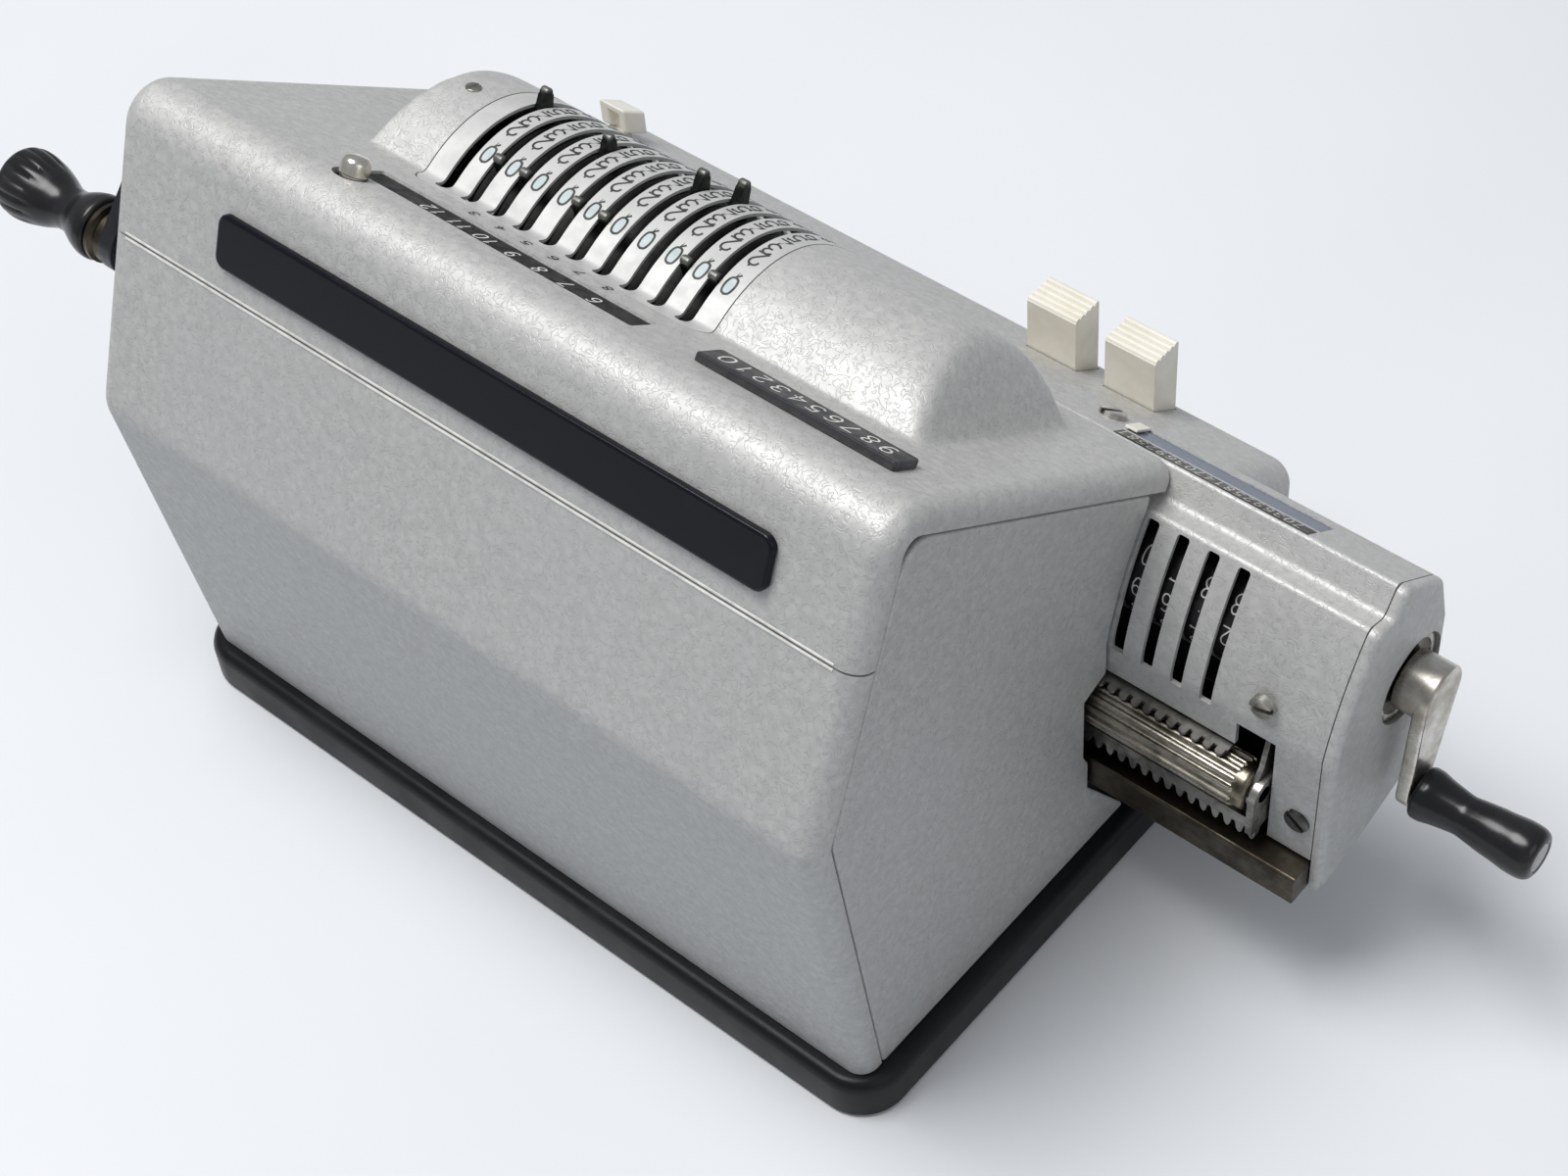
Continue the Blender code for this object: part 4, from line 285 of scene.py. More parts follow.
FINISHES = {
    "grey_enamel": enamel(),
    "black_enamel": cloudy(
        "satin_black_enamel", (60.0, 4.0, 0.6), ((0.006, 0.007, 0.008), (0.018, 0.019, 0.02)),
        (0.45, 0.8, 0.0, 0.6), (0.3, 0.8, 0.34, 0.5), ((1600.0, 3.0, 0.6), 0.00003, 0.6), specular=0.22,
    ),
    "gloss_black": cloudy(
        "gloss_black_plate", (90.0, 4.0, 0.6), ((0.004, 0.005, 0.008), (0.012, 0.013, 0.017)),
        (0.5, 0.9, 0.0, 0.5), (0.3, 0.9, 0.16, 0.3), specular=0.2,
    ),
    "black_bakelite": cloudy(
        "black_bakelite", (70.0, 5.0, 0.6, 1.5), ((0.008, 0.008, 0.009), (0.022, 0.021, 0.021)),
        (0.4, 0.75, 0.0, 0.6), (0.3, 0.8, 0.2, 0.34), ((700.0,), 0.00001, 0.4), specular=0.4,
    ),
    "black_wheel": cloudy(
        "black_number_wheel", (300.0, 3.0, 0.6), ((0.010, 0.010, 0.011), (0.024, 0.024, 0.024)),
        (0.4, 0.8), (0.3, 0.8, 0.3, 0.42), specular=0.25,
    ),
    "ivory": cloudy(
        "ivory_plastic", (90.0, 4.0, 0.6), ((0.80, 0.76, 0.67), (0.72, 0.67, 0.56)),
        (0.35, 0.75), (0.3, 0.8, 0.34, 0.46), ((1500.0,), 0.00001, 0.5), subsurface=0.06,
    ),
    "slot_plate": cloudy(
        "slot_plate_metal", (160.0, 4.0, 0.6), ((0.58, 0.58, 0.56), (0.50, 0.50, 0.485)),
        (0.3, 0.7), (0.3, 0.7, 0.44, 0.54), ((700.0, 3.0, 0.6, 0.6), 0.00005, 0.5), metal=0.2,
    ),
    "window": cloudy(
        "window_pane", (60.0, 3.0, 0.6), ((0.13, 0.16, 0.22), (0.17, 0.20, 0.27)),
        (0.35, 0.7), (0.3, 0.7, 0.10, 0.22), alpha=0.72,
    ),
    "lever": lever_metal(),
    "check_strip": paint(
        "check_strip_black", (0.010,) * 3, (0.022, 0.022, 0.021), 0.4, 0.55, specular=0.15,
    ),
    # The rotor's near-black colour is painted shade, so that it reads dark through the slots.
    "rotor": metal(
        "rotor_metal_painted_shade", (0.006,) * 3, (0.022, 0.021, 0.019), 0.45, 0.6, metallic=0.6,
    ),
    "screw": metal(
        "screw_metal", (0.30, 0.29, 0.27), (0.60, 0.58, 0.54), 0.2, 0.35, (900.0, 60.0, 60.0),
    ),
    "roller": metal(
        "roller_metal", (0.16, 0.145, 0.115), (0.50, 0.47, 0.41), 0.22, 0.36,
        (40.0, 1400.0, 1400.0),
    ),
}
# Rows: the finish, the material's name, dark, light and the ends of its roughness
PAINTS = (
    ("ink", "engraved_black", (0.018,) * 3, (0.05, 0.05, 0.048), 0.5, 0.7),
    ("zero_fill", "zero_fill", (0.42, 0.50, 0.50), (0.50, 0.57, 0.57), 0.4, 0.5),
    ("white_paint", "white_figures", (0.60, 0.59, 0.55), (0.74, 0.73, 0.69), 0.5, 0.65),
    ("scale_black", "scale_black", (0.012, 0.012, 0.014), (0.026, 0.026, 0.028), 0.3, 0.45),
    # The edge finish is lighter than the enamel: a painted highlight on the seam beads.
    ("edge", "enamel_edge", (0.50, 0.49, 0.47), (0.66, 0.65, 0.62), 0.3, 0.42),
)
METALS = (
    ("plain_steel", "plain_steel", (0.34, 0.34, 0.33), (0.56, 0.56, 0.55), 0.26, 0.42),
    ("blued_steel", "blued_steel", (0.035, 0.035, 0.038), (0.075, 0.078, 0.085), 0.28, 0.45),
    ("dark_bronze", "dark_bronze", (0.045, 0.038, 0.028), (0.12, 0.105, 0.08), 0.3, 0.46),
    ("nickel", "worn_nickel", (0.36, 0.33, 0.28), (0.66, 0.64, 0.59), 0.2, 0.36),
    ("row_plate", "row_plate_metal", (0.05, 0.045, 0.038), (0.13, 0.12, 0.10), 0.3, 0.45),
    ("row_digit", "row_digit_metal", (0.45, 0.43, 0.38), (0.72, 0.70, 0.64), 0.25, 0.4),
    ("knob", "knob_metal", (0.62, 0.58, 0.50), (0.90, 0.87, 0.80), 0.10, 0.26),
    ("dark_screw", "dark_screw_metal", (0.05,) * 3, (0.16, 0.155, 0.14), 0.25, 0.4),
    # A near-black finish for the plate behind the roller: painted shade inside the carriage.
    ("inner_plate", "inner_plate_metal", (0.008, 0.008, 0.007), (0.03, 0.028, 0.024), 0.4, 0.6),
    ("collar", "collar_metal", (0.05, 0.042, 0.03), (0.24, 0.21, 0.16), 0.22, 0.36),
    ("pin_end", "grip_end_metal", (0.30, 0.30, 0.31), (0.50,) * 3, 0.25, 0.4),
    ("crank_collar", "crank_collar_metal", (0.020, 0.018, 0.015), (0.10, 0.085, 0.06), 0.25, 0.4),
    ("recess_ring", "recess_ring_metal", (0.10, 0.095, 0.085), (0.55, 0.52, 0.46), 0.15, 0.35),
    ("comb", "comb_metal", (0.12, 0.115, 0.105), (0.46, 0.45, 0.42), 0.3, 0.45),
)
for maker, rows in ((paint, PAINTS), (metal, METALS)):
    FINISHES.update({finish: maker(*row) for finish, *row in rows})

for part in frame["record"]["subparts"]:
    materials = frame["nodes"][part["node"]].data.materials
    materials.clear()
    materials.append(FINISHES[part["material_slot"]])


# Places


def top(along, above=0.0):
    """(y, z) of a place along the sloping top from the shoulder, and above that plane."""
    return SHOULDER + SLOPE * along + ABOVE * above


def rear(height, proud=0.0):
    """(y, z) on the upper, forward-leaning rear face at this height."""
    return KNEE + LEAN * ((height - KNEE.y) / LEAN.y) + OUTWARD * proud


def polar(centre, radius, turn):
    return centre[0] + radius * math.cos(turn), centre[1] + radius * math.sin(turn)


def direction(turn):
    return Vector((math.cos(turn), math.sin(turn)))


def round_turns(count):
    return [2 * math.pi * i / count for i in range(count)]


def evenly(low, high, most):
    steps = max(1, math.ceil((high - low) / most))
    return [low + (high - low) * i / steps for i in range(steps + 1)]


# Making meshes


def make_mesh(name, points, faces):
    mesh = bpy.data.meshes.new(name)
    mesh.from_pydata([tuple(p) for p in points], [], [tuple(f) for f in faces])
    work = bmesh.new()
    work.from_mesh(mesh)
    bmesh.ops.recalc_face_normals(work, faces=work.faces)
    if any(edge.is_boundary for edge in work.edges):
        middle = sum((v.co for v in work.verts), Vector()) / len(work.verts)
        out = (f.normal.dot(f.calc_center_median() - middle) * f.calc_area() for f in work.faces)
        if sum(out) < 0:
            bmesh.ops.reverse_faces(work, faces=work.faces)
    work.to_mesh(mesh)
    work.free()
    return mesh


def settle(thing):
    """Puts the result of the modifiers into the mesh."""
    if thing.modifiers:
        bpy.context.view_layer.update()
        seen = thing.evaluated_get(bpy.context.evaluated_depsgraph_get())
        made = bpy.data.meshes.new_from_object(seen)
        thing.modifiers.clear()
        thing.data = made


def cut(thing, shape, operation="DIFFERENCE"):
    tool = add_object("tool", make_mesh("tool", *shape))
    cutting = thing.modifiers.new("carve", "BOOLEAN")
    cutting.solver, cutting.operation, cutting.object = "EXACT", operation, tool
    settle(thing)
    bpy.data.objects.remove(tool, do_unlink=True)


def piece(name, shape, body, finish, replaces=(), bevel=0.0, segments=2, angle=40,
          carve=(), within=None, wall=0.0, even=False):
    """A piece of the object: its mesh, what it rides on, what it stands for and its finish."""
    thing = add_object(name, make_mesh(name, *shape))
    if wall:
        shell = thing.modifiers.new("wall", "SOLIDIFY")
        shell.thickness, shell.offset = wall, -1.0
    if within:
        cut(thing, within, "INTERSECT")
    for other in carve:
        cut(thing, other)
    if bevel:
        edge = thing.modifiers.new("edge", "BEVEL")
        edge.width, edge.segments = bevel, segments
        edge.limit_method, edge.angle_limit = "ANGLE", math.radians(angle)
        edge.harden_normals = False
    settle(thing)
    thing.data.shade_smooth()
    thing.data.set_sharp_from_angle(angle=math.radians(angle))
    if bevel or even:
        thing.modifiers.new("even", "WEIGHTED_NORMAL").keep_sharp = True
        settle(thing)
    dress(thing, body, finish, replaces)


def dress(thing, body, finish, replaces=()):
    thing.data.materials.clear()
    thing.data.materials.append(FINISHES[finish])
    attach(thing, body)
    if replaces:
        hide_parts(*replaces)


def joined(*shapes):
    points, faces = [], []
    for some_points, some_faces in shapes:
        start = len(points)
        points += [tuple(p) for p in some_points]
        faces += [tuple(start + i for i in face) for face in some_faces]
    return points, faces


def rings(loops, closed=False):
    """Faces through equal loops of points."""
    count = len(loops[0])
    points = [tuple(p) for loop in loops for p in loop]
    faces = []
    for j in range(len(loops) if closed else len(loops) - 1):
        low, high = j * count, ((j + 1) % len(loops)) * count
        for i in range(count):
            k = (i + 1) % count
            faces.append((low + i, low + k, high + k, high + i))
    if not closed:
        last = (len(loops) - 1) * count
        faces += [tuple(range(count)), tuple(range(last, last + count))]
    return points, faces


def grid(rows):
    """Faces over a grid of points, open at its edges."""
    wide = len(rows[0])
    points = [tuple(p) for row in rows for p in row]
    faces = []
    for i in range(len(rows) - 1):
        for a in range(i * wide, i * wide + wide - 1):
            faces.append((a, a + 1, a + wide + 1, a + wide))
    return points, faces


def prism(outline, low, high):
    """A (y, z) outline pushed along X."""
    return rings([[(x, y, z) for y, z in outline] for x in (low, high)])


def oblong(left, right, low, high):
    return [(left, low), (right, low), (right, high), (left, high)]


def block(low, high):
    return prism(oblong(low[1], high[1], low[2], high[2]), low[0], high[0])


def top_block(outline, *levels):
    """An outline in (x, along) pushed square to the sloping top."""
    return rings([[(x, *top(along, above)) for x, along in outline] for above in levels])


def turned(profile, axis, sides=48, ring=False, start=0.0, side=1):
    """A profile of (distance from the start, radius) turned about an axis along X at (y, z)."""
    loops = []
    for away, radius in profile:
        x = start + side * away
        loops.append([(x, *polar(axis, radius, t)) for t in round_turns(sides)])
    return rings(loops, closed=ring)


def arc(centre, radius, start, stop, steps):
    return [polar(centre, radius, start + (stop - start) * i / steps) for i in range(steps + 1)]


def fillet(path, radii, steps=8, closed=False):
    """A path with its corners rounded."""
    spots = []
    for i, (point, radius) in enumerate(zip(path, radii)):
        if radius <= 0 or (not closed and i in (0, len(path) - 1)):
            spots.append(tuple(point))
            continue
        here = Vector(point)
        back = (Vector(path[i - 1]) - here).normalized()
        onward = (Vector(path[(i + 1) % len(path)]) - here).normalized()
        half = back.angle(onward) / 2
        reach = radius / math.tan(half)
        middle = here + (back + onward).normalized() * (radius / math.sin(half))
        start, stop = here + back * reach - middle, here + onward * reach - middle
        first, last = math.atan2(start.y, start.x), math.atan2(stop.y, stop.x)
        turn = (last - first + math.pi) % (2 * math.pi) - math.pi
        spots += arc(middle, radius, first, first + turn, steps)
    return spots


def spread(path, most):
    """The path with points added so that none of its steps is longer than most."""
    spots = [Vector(path[0])]
    for point in path[1:]:
        start, stop = spots[-1], Vector(point)
        steps = max(1, math.ceil((stop - start).length / most))
        spots += [start.lerp(stop, (i + 1) / steps) for i in range(steps)]
    return spots


def normals(path, closed=False):
    found = []
    for i in range(len(path)):
        before = path[i - 1] if closed or i else path[0]
        after = path[(i + 1) % len(path)] if closed or i < len(path) - 1 else path[-1]
        run = (Vector(after) - Vector(before)).normalized()
        found.append(Vector((run.y, -run.x)))
    return found


def rounded(half_x, half_y, radius, steps=8, centre=(0.0, 0.0)):
    corners = [(half_x, -half_y), (half_x, half_y), (-half_x, half_y), (-half_x, -half_y)]
    spots = fillet(corners, [radius] * 4, steps, closed=True)
    return [(x + centre[0], y + centre[1]) for x, y in spots]


def corner_stations(radius, steps):
    """(x, depth under the profile) round the left corner."""
    turns = [math.pi / 2 * i / steps for i in range(steps + 1)]
    centre = HALF - radius
    return [(-centre - radius * math.cos(t), radius - radius * math.sin(t)) for t in turns]


def wrapped(path, columns, height=None):
    """The outer skin of a shell: a section carried across the body and round its corners."""
    left = [(-HALF, LIP)] + corner_stations(CORNER, 8)
    across = left + [(x, 0.0) for x in columns] + [(-x, depth) for x, depth in reversed(left)]
    rows = []
    for i, (spot, way) in enumerate(zip(path, normals(path))):
        row = []
        for x, depth in across:
            lift = height(x, i) if height and depth <= 0 else 0.0
            row.append((x, *(Vector(spot) - way * (depth - lift))))
        rows.append(row)
    return grid(rows)


def least(a, b, blend):
    return (a + b - math.sqrt((a - b) ** 2 + blend**2)) / 2


def hump(x, along):
    """Height of the hump over the sloping top: a round back, cut off and blended at both ends."""
    foot, crown = 0.0016, 0.007
    reach = abs(HUMP_ALONG - along) * (1 if along < HUMP_ALONG else HUMP_STRETCH)
    limit = HUMP_RADIUS * math.cos(math.asin(HUMP_BELOW / HUMP_RADIUS) / 3)
    back = math.sqrt(HUMP_RADIUS**2 - min(reach, limit) ** 2) - HUMP_BELOW
    back -= 3 * max(reach - limit, 0.0)
    left = (x - HUMP_LEFT) * math.tan(math.radians(66))
    right = (HUMP_RIGHT - x) * math.tan(math.radians(80))
    body = least(back, least(left, right, foot), crown if left < right else foot)
    rise = -least(-body, 0.0, foot)
    return max(rise - foot**2 / HUMP_RADIUS, 0.0)


def hump_rows():
    around = math.asin(math.sqrt(HUMP_RADIUS**2 - HUMP_BELOW**2) / HUMP_RADIUS)
    steps = 44
    back = [HUMP_RADIUS * math.sin(-around + 2 * around * i / steps) for i in range(steps + 1)]
    back = [HUMP_ALONG + (d if d < 0 else d / HUMP_STRETCH) for d in back]
    feet = [0.0052, 0.0036, 0.0026, 0.0018, 0.0011, 0.0005]
    return [back[0] - d for d in feet] + back + [back[-1] + d for d in reversed(feet)]


# Body


def make_rear_housing():
    path = fillet([FOOT, KNEE, rear(SEAM - 0.00025)], [0.0, 0.012, 0.0], 16)
    edge = HALF - CORNER - 0.002
    shell = wrapped(spread(path, 0.006), evenly(-edge, edge, 0.008))
    piece("rear_housing_skin", shell, "machine_body", "grey_enamel", ["rear_housing"],
          angle=35, wall=SKIN)


def make_seam_beads():
    """The enamelled edges of the two shells, rounded where they meet, coloured lighter than the enamel
    as a painted highlight along the seam.
    """
    for name, height in (("cover_edge", SEAM + 0.0006), ("housing_edge", SEAM - 0.0006)):
        loop = [polar(rear(height, -0.0002), 0.00042, t) for t in round_turns(12)]
        edge = HALF - 0.0058
        piece(name, prism(loop, -edge, edge), "machine_body", "edge", angle=60)


def make_top_cover():
    seam = rear(SEAM + 0.00025)
    corner = spread(fillet([seam, SHOULDER, top(TOP)], [0.0, 0.010, 0.0], 14)[:-1], 0.005)
    stations = hump_rows()
    between = evenly((corner[-1] - SHOULDER).length + 0.002, stations[0] - 0.002, 0.003)
    stations = between + stations + [(stations[-1] + TOP) / 2]
    path = corner + [top(along) for along in stations] + [top(TOP - 0.0004), top(TOP)]
    first = len(corner)

    def height(x, i):
        on_slope = first <= i < first + len(stations)
        return hump(x, stations[i - first]) if on_slope else 0.0

    left = [
        -0.003, -0.002, -0.0012, -0.0006, 0.0, 0.0006, 0.0012, 0.0019, 0.0027, 0.0036, 0.0046,
        0.0057, 0.007, 0.0084, 0.0098, 0.0112, 0.0126, 0.0145, 0.0165, 0.019, 0.022,
    ]
    right = [
        0.012, 0.009, 0.0065, 0.005, 0.004, 0.0032, 0.0025, 0.0019, 0.0014, 0.001, 0.0006, 0.0003,
        0.0, -0.0003, -0.0007, -0.0012, -0.002, -0.003,
    ]
    left = [HUMP_LEFT + d for d in left]
    right = [HUMP_RIGHT - d for d in right]
    edge = HALF - CORNER - 0.001
    columns = evenly(-edge, left[0] - 0.003, 0.006) + left
    columns += evenly(left[-1] + 0.006, right[0] - 0.006, 0.008) + right
    columns += evenly(right[-1] + 0.003, edge, 0.006)
    well = fillet(oblong(*CHECK), [0.0008] * 4, 4, closed=True)
    recess = rounded(0.0043, 0.0036, 0.0035, 8, (KNOB_X + 0.0009, KNOB_ALONG))
    carve = [top_block(plate_outline(0.00015), -0.006, 0.036)]
    carve += [top_block(outline, -0.004, 0.003) for outline in (well, recess)]
    shell = wrapped(path, columns, height)
    piece("top_cover_skin", shell, "machine_body", "grey_enamel", ["top_cover"],
          carve=carve, wall=SKIN)


def plate_outline(grow):
    half_x = (PLATE_HIGH - PLATE_LOW) / 2
    half_y = (PLATE_END - PLATE_START) / 2
    centre = ((PLATE_HIGH + PLATE_LOW) / 2, (PLATE_END + PLATE_START) / 2)
    return rounded(half_x + grow, half_y + grow, 0.005, 8, centre)


def make_slot_plate():
    """The bright plate on the hump with its ten slots, standing a hair proud of the enamel."""
    stations = [a for a in hump_rows() if PLATE_START + 0.0004 < a < PLATE_END - 0.0004]
    stations = [PLATE_START - 0.002, PLATE_START - 0.0002, *stations, PLATE_END + 0.0002]
    columns = evenly(PLATE_LOW - 0.001, PLATE_HIGH + 0.001, 0.004)
    rows = [[(x, *top(a, hump(0.0, a))) for x in columns] for a in stations]
    half_x, half_y = SLOT_WIDE / 2, (SLOT_END - SLOT_START) / 2
    slots = []
    for x in LEVERS:
        outline = rounded(half_x, half_y, half_x - 0.0002, 6, (x, (SLOT_START + SLOT_END) / 2))
        slots.append(top_block(outline, -0.02, 0.05))
    edge = top_block(plate_outline(-0.00015), -0.02, 0.05)
    piece("slot_plate_skin", grid(rows), "machine_body", "slot_plate", ["slot_plate"],
          within=edge, carve=[joined(*slots)], wall=0.0008)


def shrunk(box, inset):
    left, right, low, high = box
    return oblong(left + inset, right - inset, low + inset, high - inset)


def make_plates():
    outline = fillet(shrunk(CHECK, 0.0003), [0.0006] * 4, 4, closed=True)
    strip = top_block(outline, -0.0015, -0.0007)
    piece("check_window_strip", strip, "machine_body", "check_strip", ["check_window"], angle=35)
    loops = []
    for above, inset in ((0.0002, 0.0), (0.0016, 0.0), (0.00195, 0.00015), (SCALE_HIGH, 0.0005)):
        outline = fillet(shrunk(SCALE, inset), [0.0007] * 4, 5, closed=True)
        loops.append([(x, *top(along, above)) for x, along in outline])
    piece("counter_scale_bar", rings(loops), "machine_body", "scale_black", ["counter_scale"],
          angle=34, even=True)
    half_x, half_y = 0.08085, 0.0067
    middle = rear(SEAM + 0.0065) + LEAN * half_y
    loops = []
    for proud, inset in ((0.0003, 0.0), (0.0013, 0.0), (0.00175, 0.0003), (0.002, 0.0009)):
        outline = rounded(half_x - inset, half_y - inset, 0.003 - inset)
        loops.append([(x - 0.0064, *(middle + LEAN * up + OUTWARD * proud)) for x, up in outline])
    piece("nameplate_bar", rings(loops), "machine_body", "gloss_black", ["nameplate"],
          angle=34, even=True)


def make_base():
    half_x, half_y = HALF + 0.0045, REAR_Y + 0.0045
    steps = [
        (0.0, 0.0014), (0.0004, 0.0006), (0.0012, 0.0), (0.0100, 0.0), (0.0118, 0.0006),
        (0.0127, 0.0017), (0.0130, 0.0030), (0.0130, 0.006),
    ]
    steps = [(z, inset, 0.012 - inset) for z, inset in steps] + [(0.003, 0.011, 0.006)]
    loops = []
    for z, inset, radius in steps:
        loops.append([(x, y, z) for x, y in rounded(half_x - inset, half_y - inset, radius, 12)])
    back, front = RAIL_REAR + 0.0003, RAIL_REAR - RAIL_DEEP - 0.0003
    lip, low = RAIL_LOW + 0.0045, RAIL_LOW - 0.0003
    guide = [(back + 0.0025, 0.002), (back + 0.0025, lip), (back, lip), (back, low)]
    guide += [(front, low), (front, lip), (front - 0.0025, lip), (front - 0.0025, 0.002)]
    shape = joined(rings(loops), prism(guide, -HALF + 0.004, HALF - 0.004))
    piece("base_tray_skin", shape, "machine_body", "black_enamel", ["base_tray"],
          angle=50, even=True)


def level(start, y):
    """The place at this y on a line from the start that falls with the top's slope."""
    return start + SLOPE * ((y - start.x) / SLOPE.x)


def make_front_housing():
    rows = []
    stations = corner_stations(0.008, 10)
    stations += [(x, 0.0) for x in evenly(-0.09, 0.09, 0.01)]
    stations += [(-x, more) for x, more in reversed(stations[:11])]
    for x, more in stations:
        start, front = top(0.0, -HOUSING_DROP - more), FRONT_Y + more
        path = [level(start, HOUSING_START), level(start, front), (front, BASE + 0.0003)]
        path = fillet(path, [0.0, max(0.0055 - more, 0.0008), 0.0], 10)
        first, second = Vector(path[0]), Vector(path[1])
        path = [first.lerp(second, i / 12) for i in range(12)] + path[1:]
        rows.append([(x, *p) for p in path])
    holes = []
    boxes = [(*sides, KEY_FRONT, KEY_REAR) for sides in KEYS.values()] + [SMALL_KEY]
    for left, right, front, back in boxes:
        low, high = (left - 0.0004, front - 0.0004, 0.04), (right + 0.0004, back + 0.0004, 0.12)
        holes.append(block(low, high))
    piece("front_housing_skin", grid(rows), "machine_body", "grey_enamel", ["front_housing"],
          carve=[joined(*holes)], wall=SKIN)


def mitre(point, first, second, inset):
    return point - (first + second) / (1 + first.dot(second)) * inset


def end_outline():
    """An end panel's outline: inside the rear and the top, and clear of the carriage in front."""
    inset = LIP + 0.0006
    run = (KNEE - FOOT).normalized()
    out = Vector((run.y, -run.x))
    back = [((FOOT - out * inset).x, FOOT.y), mitre(KNEE, out, OUTWARD, inset)]
    back += [mitre(SHOULDER, OUTWARD, ABOVE, inset), top(TOP - LIP, -inset)]
    curve = plate_curve(14)
    passing = [tuple(p + way * 0.0009) for p, way in zip(curve, normals(curve))]
    return fillet(back, [0.0, 0.012, 0.0068, 0.0], 12) + passing[::-1] + [
        (BEND.x + 0.0009, ROLLER.y + 0.0093),
        (ROLLER.x + 0.0072, ROLLER.y + ROLL_RADIUS),
        (ROLLER.x + 0.0072, COMB_LOW),
        (RAIL_REAR + 0.0009, RAIL_TOP),
        (RAIL_REAR + 0.0009, RAIL_LOW - 0.0009),
        (RAIL_REAR - RAIL_DEEP, BASE + 0.0003),
    ]


def make_end_panels():
    for side, name in ((-1, "end_panel_left"), (1, "end_panel_right")):
        shape = prism(end_outline(), *sorted((side * (HALF - 0.002), side * HALF)))
        carve = []
        if side > 0:
            carve = [turned([(0.09, 0.0038), (0.13, 0.0038)], CRANK, 32)]
            shape = joined(shape, turned([(0.0905, 0.003), (HALF - 0.001, 0.003)], IDLER, 32))
        piece(name + "_skin", shape, "machine_body", "grey_enamel", [name], bevel=0.0008,
              segments=3, carve=carve)


# Levers, drive and cranks


def make_levers():
    """Each lever is a ring with a blade, which has a waist and a round head."""
    half, head = 0.0012, LEVER_TOP - 0.0013
    widths = [(0.0031, -0.0012), (0.0028, 0.0012), (0.0023, 0.0032), (0.0019, 0.0055)]
    widths.append((0.0016, 0.0075))
    side = [(wide, DISC + out) for wide, out in widths] + [(half, head)]
    turns = [math.pi / 2 * i / 8 for i in range(1, 8)]
    side += [(half * math.cos(t), head + 0.0013 * math.sin(t)) for t in turns]
    side = [(wide / r, r) for wide, r in side]
    seat = RING_SEAT + 0.0003
    for index, x in enumerate(LEVERS):
        angle = ZERO + STEP * SET[index]
        blade = [(angle + t, r) for t, r in side] + [(angle - t, r) for t, r in reversed(side)]
        outline = [polar(ROTOR, r, t) for t, r in blade]
        low, high = x - half, x + half
        ring = turned([(low, seat), (low, DISC), (high, DISC), (high, seat)], ROTOR, 72, ring=True)
        name = f"{index + 1:02d}"
        piece(f"lever_{name}_blade", joined(ring, prism(outline, low, high)), f"lever_{name}",
              "lever", [f"setting_lever_{name}"], bevel=0.00035, angle=50)


def make_rotor():
    """The rotor's discs in full rounds, with the pins that the levers have set out; near black as
    painted shade.
    """
    profile = [(-0.0705, 0.004), (LEVERS[-1] - 0.0047, 0.004), (LEVERS[-1] - 0.0047, DISC)]
    profile.append((LEVERS[-1] - 0.0015, DISC))
    for x in sorted(LEVERS):
        high, end = x + 0.0015, x + PITCH - 0.0015
        profile += [(x - 0.0015, RING_SEAT), (high, RING_SEAT), (high, DISC - 0.0002)]
        profile += [(high + 0.0002, DISC), (end - 0.0002, DISC), (end, DISC - 0.0002)]
    profile += [(profile[-1][0], 0.004), (0.0995, 0.004)]
    shapes = [turned(profile, ROTOR, 96)]
    for x, digit in zip(LEVERS, SET):
        for k in range(digit):
            t = ZERO + math.pi + STEP * k
            aside = direction(t + math.pi / 2) * 0.0008
            near, far = (ROTOR + direction(t) * (DISC + out) for out in (-0.001, 0.0032))
            outline = [near - aside, far - aside, far + aside, near + aside]
            middle = x + PITCH / 2
            shapes.append(prism(outline, middle - 0.0016, middle + 0.0016))
    piece("rotor_discs", joined(*shapes), "rotor", "rotor", ["pinwheel_rotor"])
    piece("rotor_gear", gear(ROTOR, ROTOR_PHASE), "rotor", "plain_steel", angle=30)


def gear(centre, phase):
    """A small gear of the train: straight flanks, a tooth centred on the phase."""
    half = math.pi * GEAR_MODULE / 4 - 0.00014
    pitch_radius = GEAR_MODULE * GEAR_TEETH / 2
    corners = []
    for r in (pitch_radius - 0.0012, pitch_radius + 0.00092):
        corners.append((r, (half - (r - pitch_radius) * math.tan(math.radians(20))) / r))
    corners = [(r, -t) for r, t in corners] + corners[::-1]
    outline = []
    for turn in round_turns(GEAR_TEETH):
        outline += [polar(centre, r, phase + turn + t) for r, t in corners]
    return prism(outline, *GEAR_SIDES)


def crank_outline(centre, turn, arm, hub, eye):
    lean = math.asin((hub - eye) / arm)
    start, stop = turn + math.pi / 2 - lean, turn + 3 * math.pi / 2 + lean
    far = polar(centre, arm, turn)
    outline = arc(centre, hub, start, stop, 20)
    return outline + arc(far, eye, stop, stop + math.pi - 2 * lean, 20), Vector(far)


def smooth_curve(knots, steps=6):
    """A smooth line through pairs of numbers."""
    spots = []
    for i in range(len(knots) - 1):
        a, b, c, d = (Vector(knots[min(max(i + j, 0), len(knots) - 1)]) for j in (-1, 0, 1, 2))
        for j in range(steps):
            t = j / steps
            square, cube = 2 * a - 5 * b + 4 * c - d, 3 * b - a - 3 * c + d
            spots.append(tuple(0.5 * (2 * b + (c - a) * t + square * t**2 + cube * t**3)))
    return spots + [tuple(knots[-1])]


